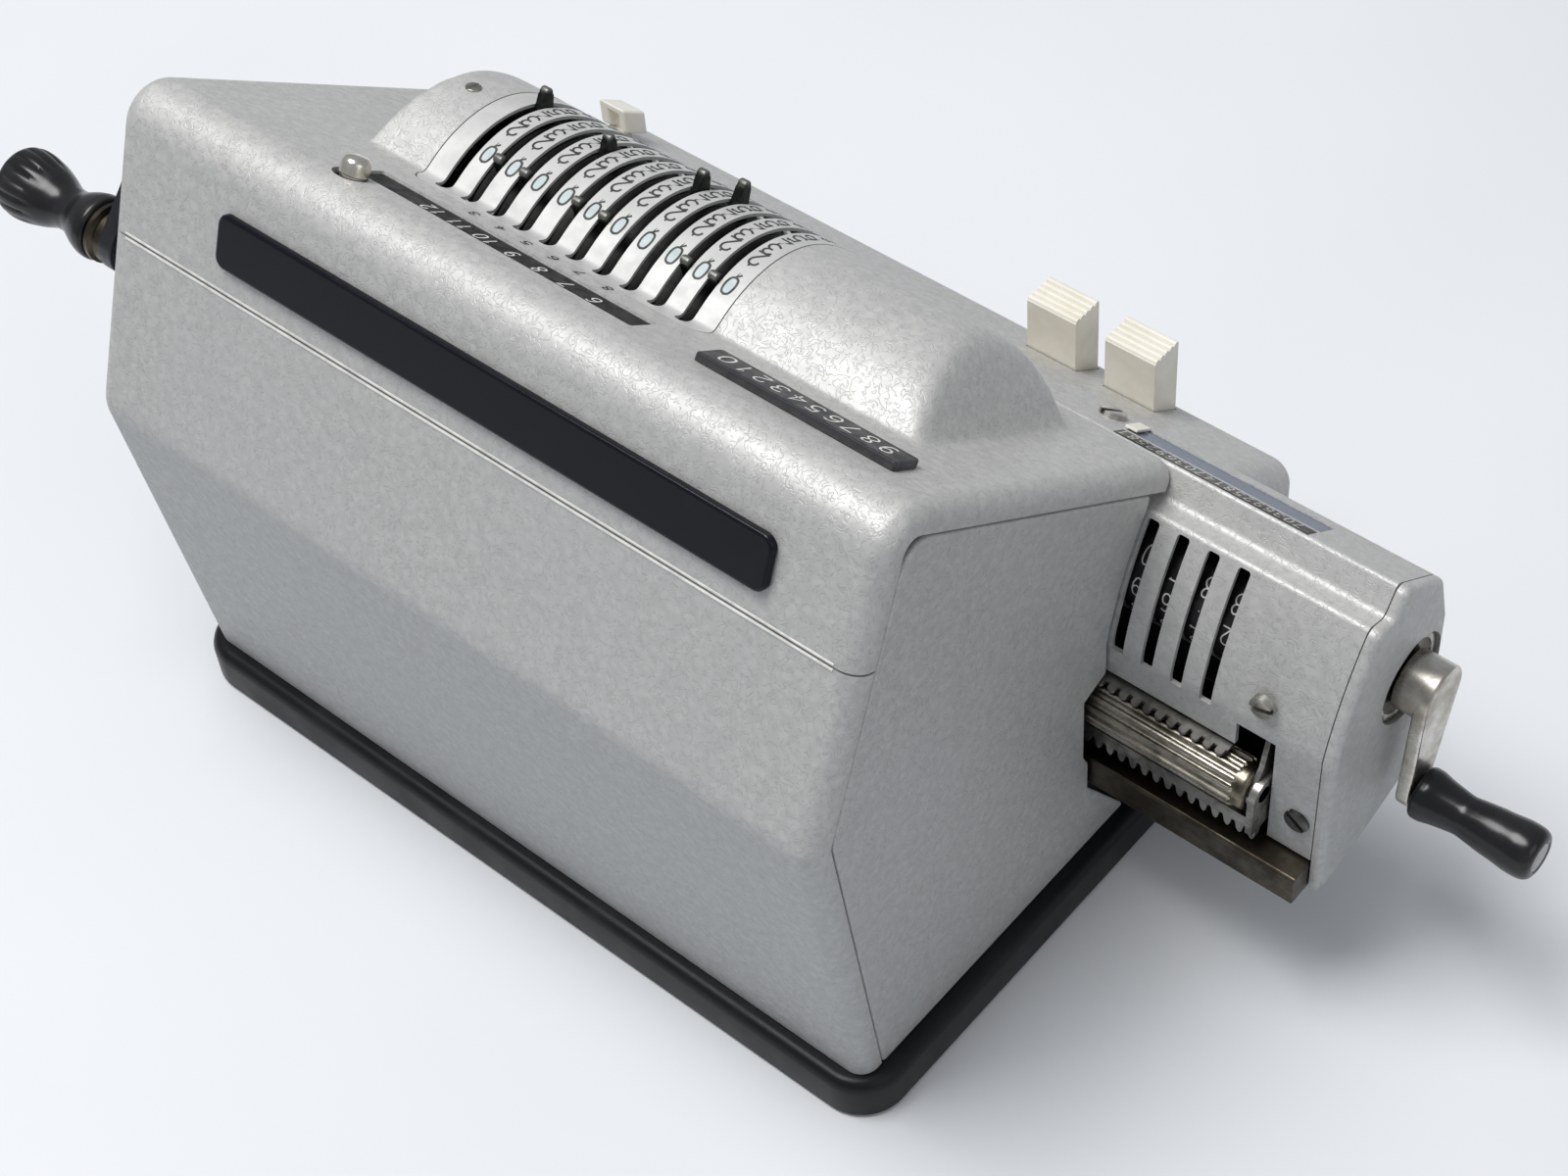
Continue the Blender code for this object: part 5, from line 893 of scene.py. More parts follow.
def grip(name, node, body, start, side, long, radius, waist, foot, axis, bore, flutes=0):
    """A waisted grip with a hollow, some with flutes on their thick end, and a pin's end in it."""
    knots = [(0.0, foot * 0.80), (0.010, foot * 0.93), (0.03, foot * 0.99), (0.06, foot)]
    knots += [(0.10, foot * 0.99), (0.18, foot * 0.90), (0.30, waist * 1.05), (0.38, waist)]
    knots += [(0.46, waist * 1.06), (0.58, (waist + radius) / 2)]
    ends = ((0.70, 0.93), (0.80, 0.99), (0.87, 1.0), (0.92, 0.985), (0.955, 0.94), (0.98, 0.86))
    knots += [(a, radius * b) for a, b in (*ends, (0.994, 0.76), (1.0, 0.66))]
    inside = ((0.996, 0.60), (0.99, 0.56), (0.99, 0.02), (0.70, 0.02))
    profile = smooth_curve(knots, 4) + [(a, radius * b) for a, b in inside]
    loops = []
    for share, r in profile + [(0.70, bore), (0.0, bore)]:
        edge = 0.0
        if flutes and 0.60 < share < 0.955 and r > bore * 2:
            edge = 0.00045 * min((share - 0.60) / 0.1, (0.955 - share) / 0.05, 1.0)
        loop = []
        for t in round_turns(96):
            dip = edge * max(0.0, math.cos(t * flutes)) ** 2
            loop.append((start + side * long * share, *polar(axis, r - dip, t)))
        loops.append(loop)
    piece(name, rings(loops, closed=True), body, "black_bakelite", [node], angle=50)
    disc = [(a * long, radius * b) for a, b in ((0.982, 0.55), (0.992, 0.55), (0.995, 0.50))]
    end = turned(disc, axis, start=start, side=side)
    piece(name + "_end", end, body, "pin_end", angle=30)


def make_main_crank():
    body, back = "main_crank", CRANK_OUT - 0.0045
    outline, eye = crank_outline(CRANK, CRANK_ANGLE, CRANK_ARM, 0.0071, 0.0072)
    piece("crank_arm_bar", prism(outline, back, CRANK_OUT), body, "blued_steel", ["crank_arm"],
          bevel=0.0005, segments=3)
    hub = [(CRANK_FACE, 0.0060), (CRANK_FACE + 0.0004, 0.0065), (back + 0.001, 0.0065)]
    piece("crank_hub", turned(hub, CRANK, 64), body, "blued_steel")
    shaft = [(0.058, 0.0035), (0.1145, 0.0035)]
    piece("crank_shaft", turned(shaft, CRANK), body, "plain_steel")
    nut = [(-0.001, 0.0036), (0.0004, 0.0036), (0.0007, 0.003)]
    low, high = (CRANK_OUT + 0.0002, -0.004, -0.0004), (CRANK_OUT + 0.002, 0.004, 0.0004)
    slot = block(*((x, CRANK.x + y, CRANK.y + z) for x, y, z in (low, high)))
    nut = turned(nut, CRANK, 40, start=CRANK_OUT)
    piece("crank_screw", nut, body, "nickel", angle=30, carve=[slot])
    collar = [(-0.001, 0.0066), (0.0022, 0.0068), (0.0026, 0.0064), (0.0030, 0.0070)]
    collar += [(0.0034, 0.0076), (0.0046, 0.0076), (0.005, 0.0072)]
    collar = turned(collar, eye, 64, start=CRANK_OUT)
    piece("crank_collar", collar, body, "crank_collar", angle=30)
    pin = [(CRANK_OUT, 0.0025), (GRIP_START + 0.02, 0.0025)]
    piece("crank_pin", turned(pin, eye, 32), body, "plain_steel")
    grip("main_grip", "crank_grip", "main_handle", GRIP_START, 1, GRIP_LONG, 0.009, 0.0055, 0.0082,
         eye, 0.0028, flutes=16)
    piece("crank_gear", gear(CRANK, CRANK_PHASE), body, "plain_steel", angle=30)


def make_clearing_crank(prefix, side, face, degrees):
    """Distances are from the cap's face, outwards."""
    body = prefix + "_crank"
    out, back = 0.0085, 0.0049
    outline, eye = crank_outline(CLEAR, math.radians(degrees), CLEAR_ARM, 0.0075, 0.00475)
    arm = prism(outline, *sorted((face + side * back, face + side * out)))
    piece(prefix + "_arm", arm, body, "nickel", [prefix + "_clearing_crank"],
          bevel=0.0007, segments=3)
    parts = (
        ("_hub", CLEAR, 64, ((-0.00085, 0.0071), (-0.00045, 0.0075), (back + 0.0008, 0.0075))),
        ("_shaft", CLEAR, 32, ((-0.0098, 0.003), (back, 0.003))),
        ("_pin", eye, 24, ((back + 0.0018, 0.0018), (out + 0.021, 0.0018))),
    )
    for name, centre, sides, profile in parts:
        shape = turned(profile, centre, sides, start=face, side=side)
        piece(prefix + name, shape, body, "nickel")
    head = [(out - 0.0016, 0.0046), (out - 0.0003, 0.0046), (out - 0.00005, 0.0043)]
    way, aside = direction(math.radians(70)) * 0.006, direction(math.radians(160)) * 0.0004
    cross = [CLEAR - way - aside, CLEAR + way - aside, CLEAR + way + aside, CLEAR - way + aside]
    slot = prism(cross, *sorted((face + side * (out - 0.0007), face + side * (out + 0.002))))
    head = turned(head, CLEAR, start=face, side=side)
    piece(prefix + "_screw", head, body, "screw", angle=30, carve=[slot])
    grip(prefix + "_grip", prefix + "_clearing_grip", prefix + "_handle",
         face + side * (out + 0.0003), side, 0.031, 0.0066, 0.0050, 0.0065, eye, 0.0021)


# Carriage


def plate_curve(steps):
    rise = CROWN - BEND
    pull = BEND + Vector((rise.x * 0.27, rise.y * 0.54))
    turns = [i / steps for i in range(steps + 1)]
    return [BEND * (1 - t) ** 2 + pull * (2 * t * (1 - t)) + CROWN * t**2 for t in turns]


def carriage_path(low, soft=0.0):
    """The carriage's section: foot, curved rear plate, rolled crown, valley, top plate, front."""
    curve = plate_curve(20)
    path = [curve[-3], CROWN, VALLEY, top(TOP + 0.001), top(TOP + 0.021)]
    path += [(FRONT_WALL, 0.09512), (FRONT_WALL, 0.06012), (-0.04399, 0.04612)]
    crown = fillet(path, [0.0, 0.0016 + soft, 0.0022, 0.0012 + soft, 0.003, 0.004, 0.006, 0.0])
    return [(BEND.x, low), *(tuple(p) for p in curve[:-3]), *crown]


def make_carriage_cover():
    left, right = CAR_LEFT + 0.0003, CAR_RIGHT - 0.0003
    columns = evenly(left, right, 0.012)
    rows = [[(x, *p) for x in columns] for p in spread(carriage_path(PLATE_FOOT), 0.006)]
    behind, before = BEND.x + 0.004, BEND.x - 0.004
    carve = [
        block((NOTCH[0], before, PLATE_FOOT - 0.004), (CAR_RIGHT - 0.006, behind, PLATE_CUT)),
        block((NOTCH[0], before, PLATE_CUT - 0.0007), (NOTCH[1], behind, PLATE_CUT + 0.0075)),
        joined(*(reading_cut(x - 0.0016, x + 0.0016) for x in COUNTERS),
               reading_cut(RESULTS[-1] - 0.004, RESULTS[0] + 0.004)),
        joined(*(window(places, 0.0, 0.0078, 0.0163, -0.0028, 0.0014)
                 for places in (COUNTERS, RESULTS))),
    ]
    piece("carriage_cover_skin", grid(rows), "carriage", "grey_enamel", ["carriage_cover"],
          carve=carve, wall=0.0012)


def window(places, inset, near, far, *levels):
    """A block over the register's places, from near to far along the carriage's top."""
    low, high = min(places) - PITCH + inset, max(places) + PITCH / 2 - inset
    return top_block(oblong(low, high, TOP + near, TOP + far), *levels)


def reading_cut(low_x, high_x):
    """A cutter through the curved rear plate with a round top end."""
    foot, head = BEND.y - 0.002, CROWN.y - 0.0014
    half = 0.0008
    levels = [(foot, 0.0002), (foot + 0.0003, 0.0)]
    levels += [(foot + (head - half - foot) * i / 6, 0.0) for i in range(1, 7)]
    for degrees in (15, 30, 45, 60, 75, 86):
        t = math.radians(degrees)
        levels.append((head - half * (1 - math.sin(t)), half * (1 - math.cos(t))))
    curve = plate_curve(30)
    loops = []
    for height, inset in levels:
        depth = BEND.x
        for a, b in zip(curve, curve[1:]):
            if a.y <= height <= b.y:
                depth = a.x + (b.x - a.x) * (height - a.y) / (b.y - a.y)
        corners = oblong(low_x + inset, high_x - inset, BEND.x + 0.004, depth - 0.0036)
        loops.append([(x, y, height) for x, y in corners])
    return rings(loops)


def make_caps():
    for side, face, node in (
        (-1, CAR_LEFT - CAP, "carriage_cap_left"), (1, CAR_RIGHT + CAP, "carriage_cap_right"),
    ):
        path = [*carriage_path(RAIL_LOW, 0.0014), (BEND.x - 0.0081, RAIL_LOW)]
        path = spread(path, 0.004)
        ways = normals(path, closed=True)
        loops = []
        for along, inset in (
            (0.0, 0.0), (0.0012, 0.0), (0.0018, 0.00015), (0.0023, 0.0005), (0.0027, 0.0010),
            (0.0029, 0.0016), (0.003, 0.0024),
        ):
            x = face + side * (along - CAP)
            loops.append([(x, *(p - way * inset)) for p, way in zip(path, ways)])

        def round_part(profile, sides=64, ring=False):
            return turned(profile, CLEAR, sides, ring, face, side)

        recess = round_part([(-0.0017, 0.0118), (0.004, 0.0118)])
        bore = round_part([(-0.006, 0.0033), (0.004, 0.0033)], 32)
        piece(node + "_shell", rings(loops), "carriage", "grey_enamel", [node],
              carve=[recess, bore])
        rim = [(-0.0016, 0.0114), (-0.0011, 0.0115), (-0.0009, 0.0111), (-0.0011, 0.0098)]
        rim = round_part(rim + [(-0.0016, 0.0096)], ring=True)
        piece(node + "_ring", rim, "carriage", "recess_ring", angle=50)
        floor = [(-0.00165, 0.0097), (-0.0015, 0.0097), (-0.0015, 0.0040), (-0.00165, 0.0040)]
        piece(node + "_floor", round_part(floor, ring=True), "carriage", "dark_bronze", angle=50)


def make_rail():
    back, front = RAIL_REAR, RAIL_REAR - RAIL_DEEP
    outline = [(back, RAIL_LOW), (back, RAIL_TOP - 0.0006), (back - 0.0006, RAIL_TOP)]
    outline += [(front, RAIL_TOP), (front, RAIL_LOW)]
    shape = prism(outline, CAR_LEFT + 0.0003, CAR_RIGHT - 0.0003)
    piece("rail_bar", shape, "carriage", "dark_bronze", ["carriage_rail"], bevel=0.00025, angle=30)


def number_wheels():
    """The body, node, place and shown digit of every number wheel."""
    for i, x in enumerate(COUNTERS):
        yield f"counter_{i + 1}", f"counter_wheel_{i + 1}", x, COUNTER_SHOWN[i]
    for i, x in enumerate(RESULTS):
        yield f"result_{i + 1:02d}", f"result_wheel_{i + 1:02d}", x, RESULT_SHOWN[i]


def make_wheels():
    rim, bore = NUMBER_RADIUS, 0.0033
    profile = [(-0.0033, bore), (-0.0033, rim - 0.0005), (-0.0029, rim - 0.0001)]
    profile += [(-x, r) for x, r in reversed(profile)]
    for body, node, x, _ in number_wheels():
        drum = turned(profile, REGISTER, 72, ring=True, start=x)
        piece(body + "_drum", drum, body, "black_wheel", [node])
    shaft = turned([(CAR_LEFT - 0.0007, 0.003), (CAR_RIGHT + 0.0007, 0.003)], REGISTER, 40)
    piece("register_rod", shaft, "carriage", "plain_steel", ["register_shaft"])


def make_roller():
    """The fluted roller: raised flutes with rounded crests on a shaft between two cheeks."""
    loops = []
    flutes, steps = 14, 10
    for x, trim in (
        (ROLL_LEFT, 0.0006), (ROLL_LEFT + 0.0006, 0.0), (ROLL_RIGHT - 0.0006, 0.0),
        (ROLL_RIGHT, 0.0006),
    ):
        loop = []
        for t in round_turns(flutes * steps):
            wave = math.cos(t * flutes)
            depth = 0.0012 * (0.5 - 0.5 * math.tanh(wave * 3.0) / math.tanh(3.0))
            loop.append((x, *polar(ROLLER, ROLL_RADIUS - depth - trim, t)))
        loops.append(loop)
    shape = joined(rings(loops), turned([(-0.1559, 0.0022), (-0.0564, 0.0022)], ROLLER, 32))
    piece("roller_flutes", shape, "roller", "roller", ["fluted_roller"], angle=35)
    collar = [(-0.1535, 0.0040), (-0.1533, 0.0047), (-0.1529, 0.0054), (-0.1521, 0.0057)]
    collar = smooth_curve(collar + [(-0.1510, 0.0057), (-0.1498, 0.0057)], 4)
    piece("roller_collar", turned(collar, ROLLER, 64), "roller", "collar", angle=35)


def make_comb():
    low_x = NOTCH[0] + 0.0003
    count = math.ceil((ROLL_RIGHT - low_x) / COMB_PITCH)
    tooth = (
        (0.0, 0.0028), (0.0003, 0.0008), (0.0008, 0.0001), (0.0013, 0.0002), (0.0018, 0.0010),
        (0.0021, 0.0028), (0.0024, 0.0033), (0.0030, 0.0033),
    )
    outline = [(low_x, COMB_HIGH)]
    for i in range(count):
        x = low_x + COMB_PITCH * i
        outline += [(x + along, COMB_LOW + above) for along, above in tooth]
    end = low_x + COMB_PITCH * count
    outline += [(end, COMB_LOW + 0.0028), (end, COMB_HIGH)]
    parts = [rings([[(x, y, z) for x, z in outline] for y in (COMB_REAR, COMB_REAR - 0.0018)])]
    inside = BEND.x - 0.0017
    rim, foot = 0.0041, 0.052
    high, front = ROLLER.y + rim, inside - 0.0018
    cheek = [(ROLLER.x + rim, foot), *arc(ROLLER, rim, 0.0, math.pi / 2, 8)]
    cheek += [(front, high), (front, foot)]
    for left in (low_x + 0.0003, ROLL_RIGHT + 0.0006):
        parts.append(prism(cheek, left, left + 0.0018))
    tab = [(inside, foot), (inside, high), (front, high), (front, foot)]
    parts.append(prism(tab, CAR_LEFT + 0.0003, low_x + 0.0012))
    piece("comb_teeth", joined(*parts), "carriage", "comb", ["comb_rack"], angle=30)


# Keys


def surface(y):
    return level(top(0.0, -HOUSING_DROP), y).y


def make_keys():
    pitch = (KEY_REAR - KEY_FRONT) / 5
    crown, foot = surface(KEY_REAR) + KEY_HIGH, surface(KEY_FRONT) - 0.012
    rib = ((0.0, 0.25), (0.1, 0.75), (0.25, 1.0), (0.6, 1.0), (0.76, 0.75), (0.88, 0.2), (0.94, 0.0))
    outline = [(KEY_FRONT, foot)]
    for i in range(5):
        for along, lift in rib:
            outline.append((KEY_FRONT + pitch * (i + along), crown - 0.0009 * (1 - lift)))
    outline += [(KEY_REAR, crown - 0.0009), (KEY_REAR, foot)]
    for name, (left, right) in KEYS.items():
        piece(f"shift_key_{name}_cap", prism(outline, left, right), f"key_{name}", "ivory",
              [f"shift_key_{name}"], bevel=0.0006, segments=3)
    left, right, front, back = SMALL_KEY
    foot, near, far = surface(front) - 0.012, -0.0681, -0.0760
    corners = ((far, 0.0031), (far, 0.0109), (near, 0.0109), (near, 0.0031))
    outline = [(y, surface(y) + up) for y, up in corners]
    groove = block((0.0955, front + 0.0021, foot), (0.0989, near + 0.004, surface(near) + 0.0084))
    piece("small_key_cap", prism(outline, 0.0930, 0.1023), "key_small", "ivory", ["small_key"],
          bevel=0.0008, segments=3, carve=[groove])
    stem = joined(
        block((left, front, foot), (right, back, surface(back) + 0.0015)),
        block((left, front, foot + 0.001), (right, front + 0.002, surface(back) + 0.005)),
    )
    piece("small_key_stem", stem, "key_small", "ivory", bevel=0.0003)


# Digits and small fittings. Strokes are x,y pairs in hundredths: a digit is 60 wide and 100 high

ROUND = {
    "0": ["0,50 -20,42 -29,15 -29,-15 -20,-42 0,-50 20,-42 29,-15 29,15 20,42 0,50"],
    "2": ["-27,27 -20,43 0,50 20,43 27,24 20,4 0,-18 -28,-50", "-28,-50 30,-50"],
    "3": [
        "-25,36 -10,48 8,49 23,38 25,20 12,6 -6,3",
        "-6,3 15,0 28,-16 27,-34 12,-48 -8,-50 -27,-38",
    ],
    "5": [
        "24,48 -19,48",
        "-19,48 -24,6",
        "-24,6 -5,14 15,10 28,-8 27,-32 10,-48 -10,-50 -28,-38",
    ],
    "6": [
        "22,44 5,50 -14,42 -27,15 -28,-18 -20,-42 0,-50 20,-43 28,-22 20,0 0,7 -18,0 -27,-16",
    ],
    "8": [
        "0,50 -18,44 -23,27 -12,10 0,4 18,-8 28,-26 18,-45 0,-50 -18,-45 -28,-26 -18,-8 0,4 "
        "12,10 23,27 18,44 0,50",
    ],
}
STRAIGHT = {
    "1": ["-14,30 6,50 6,-50"],
    "4": ["14,-50 14,50 -30,-20 32,-20"],
    "7": ["-28,50 28,50 -6,-50"],
}


def stroke(text):
    return [tuple(int(number) / 100 for number in spot.split(",")) for spot in text.split()]


def strokes(digit):
    if digit in STRAIGHT:
        return [stroke(text) for text in STRAIGHT[digit]]
    if digit == "9":
        return [[(-x, -y) for x, y in stroke(text)] for text in ROUND["6"]]
    lines = [stroke(text) for text in ROUND[digit]]
    return [smooth_curve(line, 3) if len(line) > 2 else line for line in lines]


def ribbon(line, wide, at):
    """A narrow band along a line in (u, v), laid on a surface by at(u, v)."""
    points = []
    last = len(line) - 1
    for i, spot in enumerate(line):
        here = Vector(spot)
        before = (here - Vector(line[i - 1])).normalized() if i else None
        after = (Vector(line[i + 1]) - here).normalized() if i < last else None
        run = ((before or after) + (after or before)).normalized()
        side = Vector((-run.y, run.x)) * (wide / 2)
        if before and after:
            side /= max(0.5, run.dot(after))
        else:
            here += run * ((1 if before else -1) * wide * 0.4)
        points += [at(*(here - side)), at(*(here + side))]
    return points, [(i, i + 2, i + 3, i + 1) for i in range(0, 2 * last, 2)]


def digit_shapes(text, places, size, wide, at):
    """Bands for digits: places are (u, v) centres, size is (width, height)."""
    shapes = []
    for digit, (u, v) in zip(text, places):
        for line in strokes(digit):
            scaled = [(u + x * size[0] / 0.6, v + y * size[1]) for x, y in line]
            shapes.append(ribbon(scaled, wide, at))
    return shapes


def flat(name, shapes, body, finish):
    points, faces = joined(*shapes)
    mesh = bpy.data.meshes.new(name)
    mesh.from_pydata(points, [], faces)
    dress(add_object(name, mesh), body, finish)


def hump_spot(around):
    """Where a line from the rotor's axis, at a turn about it, leaves the hump: the place as
    (along, above), the line's way and its length."""
    axis = Vector(((ROTOR - SHOULDER).dot(SLOPE), (ROTOR - SHOULDER).dot(ABOVE)))
    way = direction(around)
    run = Vector((way.dot(SLOPE), way.dot(ABOVE)))
    low, high = 0.02, 0.05
    for _ in range(22):
        middle = (low + high) / 2
        spot = axis + run * middle
        low, high = (middle, high) if spot.y < hump(0.0, spot.x) else (low, middle)
    return axis + run * low, run, low


# Surfaces for digits: each gives at(u, v), u along X and v up the digit


def on_hump(around, lift=0.00004):
    far = hump_spot(around)[2]

    def at(u, v):
        spot, run, _ = hump_spot(around - v / far)
        return (u, *top(*(spot + run * lift)))

    return at


def on_top(along, above):
    return lambda u, v: (u, *top(along - v, above))


def round_axis(axis, radius, around):
    return lambda u, v: (u, *polar(axis, radius, around - v / radius))


def make_digits():
    dark, fill, white = [], [], []
    places = [(x - PITCH / 2, 0.0) for x in LEVERS]
    for k in range(10):
        at = on_hump(ZERO + STEP * k)
        dark += digit_shapes(str(k) * 10, places, (0.0026, 0.0045), 0.00055, at)
    below = on_hump(ZERO, 0.00002)
    inside = smooth_curve(stroke(ROUND["0"][0]), 3)
    for u, v in places:
        rim = [below(u + x * 0.0039, v + y * 0.0043) for x, y in inside]
        fill.append(([below(u, v), *rim], [(0, i, i + 1) for i in range(1, len(rim))]))
    spots = [(x, 0.0) for x in LEVERS[2:8]]
    dark += digit_shapes("345678", spots, (0.0016, 0.0027), 0.00048, on_top(0.0318, 0.00005))
    flat("slot_digits", dark, "machine_body", "ink")
    flat("zero_fill", fill, "machine_body", "zero_fill")
    strip = on_top((CHECK[2] + CHECK[3]) / 2, -0.00066)
    for i in range(1, 8):
        number = str(13 - i)
        middle = places[i][0]
        spots = [(middle + 0.0015 * (j * 2 - len(number) + 1), 0.0) for j in range(len(number))]
        white += digit_shapes(number, spots, (0.0018, 0.0043), 0.00045, strip)
    bar = on_top((SCALE[2] + SCALE[3]) / 2, SCALE_HIGH + 0.00003)
    middle = (SCALE[0] + SCALE[1]) / 2
    spots = [(middle + 0.0047 * (i - 4.5), 0.0) for i in range(10)]
    white += digit_shapes("9876543210", spots, (0.0026, 0.0048), 0.0005, bar)
    flat("scale_digits", white, "machine_body", "white_paint")
    for index, x in enumerate(LEVERS):
        marks = []
        for j in range(7):
            at = round_axis(ROTOR, DISC + 0.00006, ZERO + STEP * (SET[index] - 1.2 - j))
            marks += digit_shapes(str(j + 1), [(x, 0.0)], (0.0013, 0.0026), 0.0003, at)
        body = f"lever_{index + 1:02d}"
        flat(body + "_marks", marks, body, "white_paint")
    for body, _, x, shown in number_wheels():
        marks = []
        for digit in range(10):
            around = math.radians(123 + 36 * (digit - shown))
            at = round_axis(REGISTER, NUMBER_RADIUS - 0.00006, around)
            marks += digit_shapes(str(digit), [(x, 0.0)], (0.0021, 0.0048), 0.00036, at)
        flat(body + "_digits", marks, body, "white_paint")


def spun(profile, centre, axis, sides=40):
    """A profile of (height, radius) turned about any axis."""
    first = axis.orthogonal().normalized()
    second = axis.cross(first)
    loops = []
    for height, radius in profile:
        base = Vector(centre) + axis * height
        turns = [first * math.cos(t) + second * math.sin(t) for t in round_turns(sides)]
        loops.append([base + out * radius for out in turns])
    return rings(loops)


def screw(name, body, centre, axis, radius, turn, finish="screw", rise=0.0009):
    """A slotted cheese-head screw, its slot cut across at a turn."""
    head = [(-0.0012, radius), (rise * 0.75, radius)]
    head += [(rise * 0.95, radius * 0.95), (rise, radius * 0.88)]
    along = Matrix.Rotation(turn, 3, axis) @ axis.orthogonal().normalized()
    side = axis.cross(along)
    loops = []
    for height in (rise * 0.9 - radius * 0.32, rise * 3):
        base = Vector(centre) + axis * height
        corners = oblong(-1.4, 1.4, -0.2, 0.2)
        loops.append([base + (along * a + side * b) * radius for a, b in corners])
    piece(name, spun(head, centre, axis), body, finish, carve=[rings(loops)], angle=30)


def make_fittings():
    up = Vector((0.0, ABOVE.x, ABOVE.y))
    back = Vector((0.0, 1.0, 0.0))
    knob = [(-0.0028, 0.0030), (0.0003, 0.0030), (0.0006, 0.0034), (0.0031, 0.0034)]
    knob += [(0.0039, 0.0031), (0.0045, 0.0024), (0.0048, 0.0010)]
    knob = spun(knob, (KNOB_X, *top(KNOB_ALONG)), up.normalized())
    piece("cover_knob", knob, "machine_body", "knob", angle=30)
    place = Vector(on_hump(math.radians(96), 0.0)(0.0603, 0.0))
    way = (place - Vector((place.x, *top(HUMP_ALONG, -HUMP_BELOW)))).normalized()
    screw("hump_screw", "machine_body", place + way * 0.0001, way, 0.0019, 0.6, rise=0.0005)
    for name, centre, axis, radius, turn, finish in (
        ("plate_screw_high", (-0.1522, BEND.x + 0.0001, 0.0903), back, 0.0030, 1.1, "screw"),
        ("plate_screw_low", (-0.1639, BEND.x + 0.0001, 0.0584), back, 0.0032, 0.15, "dark_screw"),
        ("top_screw", (-0.0870, *top(TOP + 0.0125, 0.0004)), up.normalized(), 0.0034, 0.3, "screw"),
    ):
        screw(name, "carriage", centre, axis, radius, turn, finish)
    tab = top_block(oblong(-0.0958, -0.0925, TOP + 0.0090, TOP + 0.0158), 0.0, 0.0007)
    piece("window_tab", tab, "carriage", "ivory", bevel=0.0002, angle=30)
    pitch = 0.0026
    for name, places in (("counter", COUNTERS), ("result", RESULTS)):
        pane = window(places, 0.0002, 0.0080, 0.0161, -0.0008, -0.00035)
        piece(name + "_window_pane", pane, "carriage", "window", angle=30)
        row = window(places, 0.0002, 0.0016, 0.0062, 0.0, 0.00012)
        piece(name + "_row", row, "carriage", "row_plate", angle=30)
        low, high = min(places) - PITCH + 0.0002, max(places) + PITCH / 2 - 0.0002
        count = int((high - low) / pitch)
        text = "".join(str((i * 7 + 1) % 10) for i in range(count))
        spots = [(high - pitch / 2 - pitch * i, 0.0) for i in range(count)]
        at = on_top(TOP + 0.0039, 0.00015)
        marks = digit_shapes(text, spots, (0.0015, 0.0034), 0.0005, at)
        flat(name + "_row_digits", marks, "carriage", "row_digit")


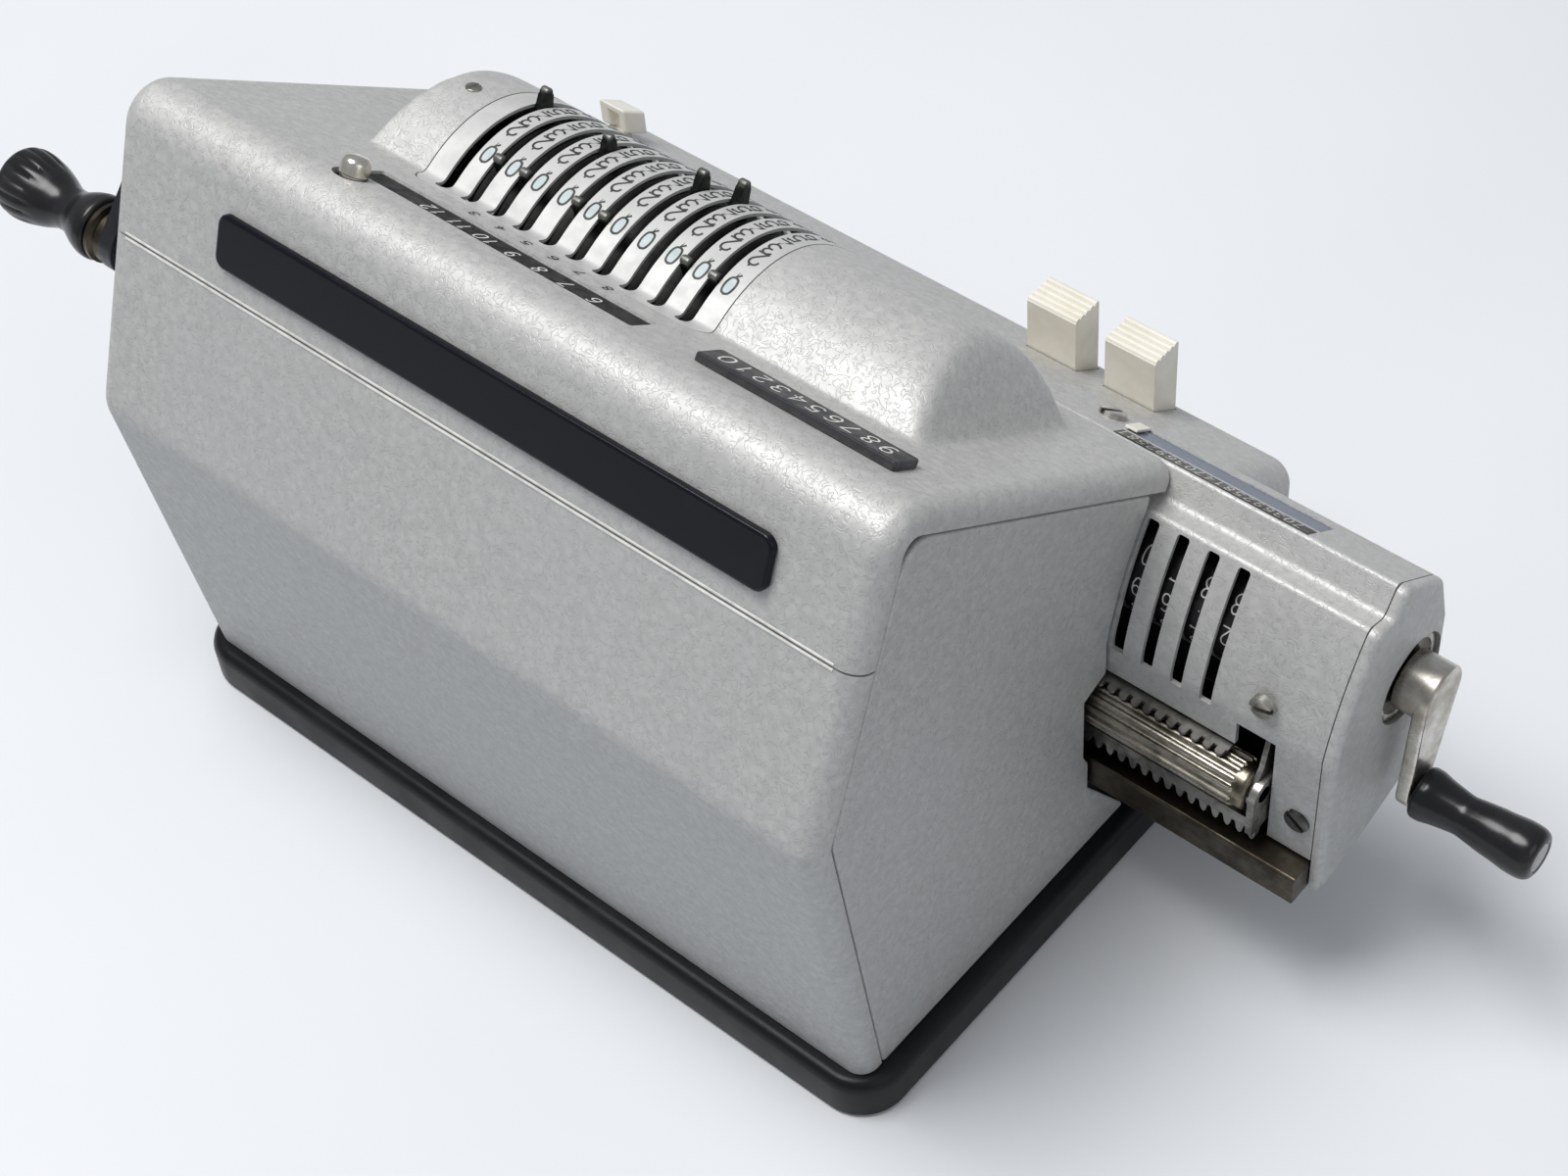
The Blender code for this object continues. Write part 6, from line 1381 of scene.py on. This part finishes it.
def make_roller_parts():
    """The arm over the roller's end, the fine rack above the roller, and a near-black plate behind it
    as painted shade.
    """
    arm = [(ROLLER.x + 0.0038, ROLLER.y), *arc(ROLLER, 0.0038, 0.3, -math.pi, 10)]
    head = ((-0.0052, 0.0700), (-0.0058, 0.0790), (-0.0034, 0.0790), (-0.0012, 0.0705))
    arm = prism(arm + [(ROLLER.x + y, z) for y, z in head], -0.1545, -0.1532)
    piece("roller_arm", arm, "carriage", "comb", bevel=0.0002)
    low, tip, root, back = -0.1455, -0.0030, -0.0050, -0.0085
    tooth = (
        (0.0004, root), (0.0005, tip - 0.0006), (0.0009, tip - 0.0001), (0.0015, tip),
        (0.0021, tip - 0.0001), (0.0025, tip - 0.0006), (0.0026, root),
    )
    outline = [(low, back), (low, root)]
    for i in range(26):
        outline += [(low + COMB_PITCH * i + x, y) for x, y in tooth]
    outline += [(ROLL_RIGHT, root), (ROLL_RIGHT, back)]
    rack = rings([[(x, y, z) for x, y in outline] for z in (0.0706, 0.0714)])
    piece("fine_rack", rack, "carriage", "comb", angle=30)
    # Painted shade: a near-black plate that darkens the carriage's inside behind the roller.
    plate = block((CAR_LEFT + 0.0006, -0.0142, 0.0500), (ROLL_RIGHT + 0.003, -0.0134, 0.0798))
    piece("inner_plate", plate, "carriage", "inner_plate", bevel=0.0002, angle=30)


make_rear_housing()
make_top_cover()
make_seam_beads()
make_slot_plate()
make_plates()
make_base()
make_front_housing()
make_end_panels()
make_levers()
make_rotor()
make_main_crank()
make_clearing_crank("counter", -1, CAR_LEFT - CAP, -80)
make_clearing_crank("result", 1, CAR_RIGHT + CAP, 20)
make_carriage_cover()
make_caps()
make_rail()
make_wheels()
make_roller()
make_comb()
make_keys()
make_digits()
make_fittings()
make_roller_parts()

# Floor and light


def make_floor():
    mesh = bpy.data.meshes.new("floor")
    corners = [(x, y, 0) for x, y in oblong(-6.0, 6.0, -6.0, 6.0)]
    mesh.from_pydata(corners, [], [(0, 1, 2, 3)])
    floor = add_object("floor", mesh)
    n = Nodes("pale_floor")
    tone = n.mix(n.span(n.noise(3.0, 3.0), 0.3, 0.7), (0.72, 0.735, 0.755), (0.76, 0.77, 0.785))
    kinds = ("Camera", "Glossy", "Transmission")
    camera, glossy, through = (n.add("LightPath", f"Is {kind} Ray", {}) for kind in kinds)
    seen = n.math("MAXIMUM", camera, n.math("MAXIMUM", glossy, through))
    mesh.materials.append(n.done(n.mix(seen, (0.32, 0.35, 0.40), tone), 0.75, specular=0.2))


def area_light(name, place, target, size, power):
    data = bpy.data.lights.new(name, "AREA")
    data.shape, data.energy = "RECTANGLE", power
    data.size, data.size_y = size
    lamp = add_object(name, data)
    lamp.location = place
    lamp.rotation_mode = "QUATERNION"
    lamp.rotation_quaternion = (Vector(place) - Vector(target)).to_track_quat("Z", "Y")


def make_world():
    world = bpy.data.worlds.new("studio")
    world.use_nodes = True
    sky = world.node_tree.nodes["Background"].inputs
    sky["Color"].default_value = (0.88, 0.92, 0.98, 1.0)
    sky["Strength"].default_value = 0.39
    bpy.context.scene.world = world


make_floor()
make_world()
area_light("key", (0.35, 0.32, 1.7), (0.0, 0.0, 0.1), (0.9, 0.8), 27.0)
area_light("fill", (-1.3, 0.2, 0.9), (0.0, 0.0, 0.08), (0.9, 0.9), 2.5)
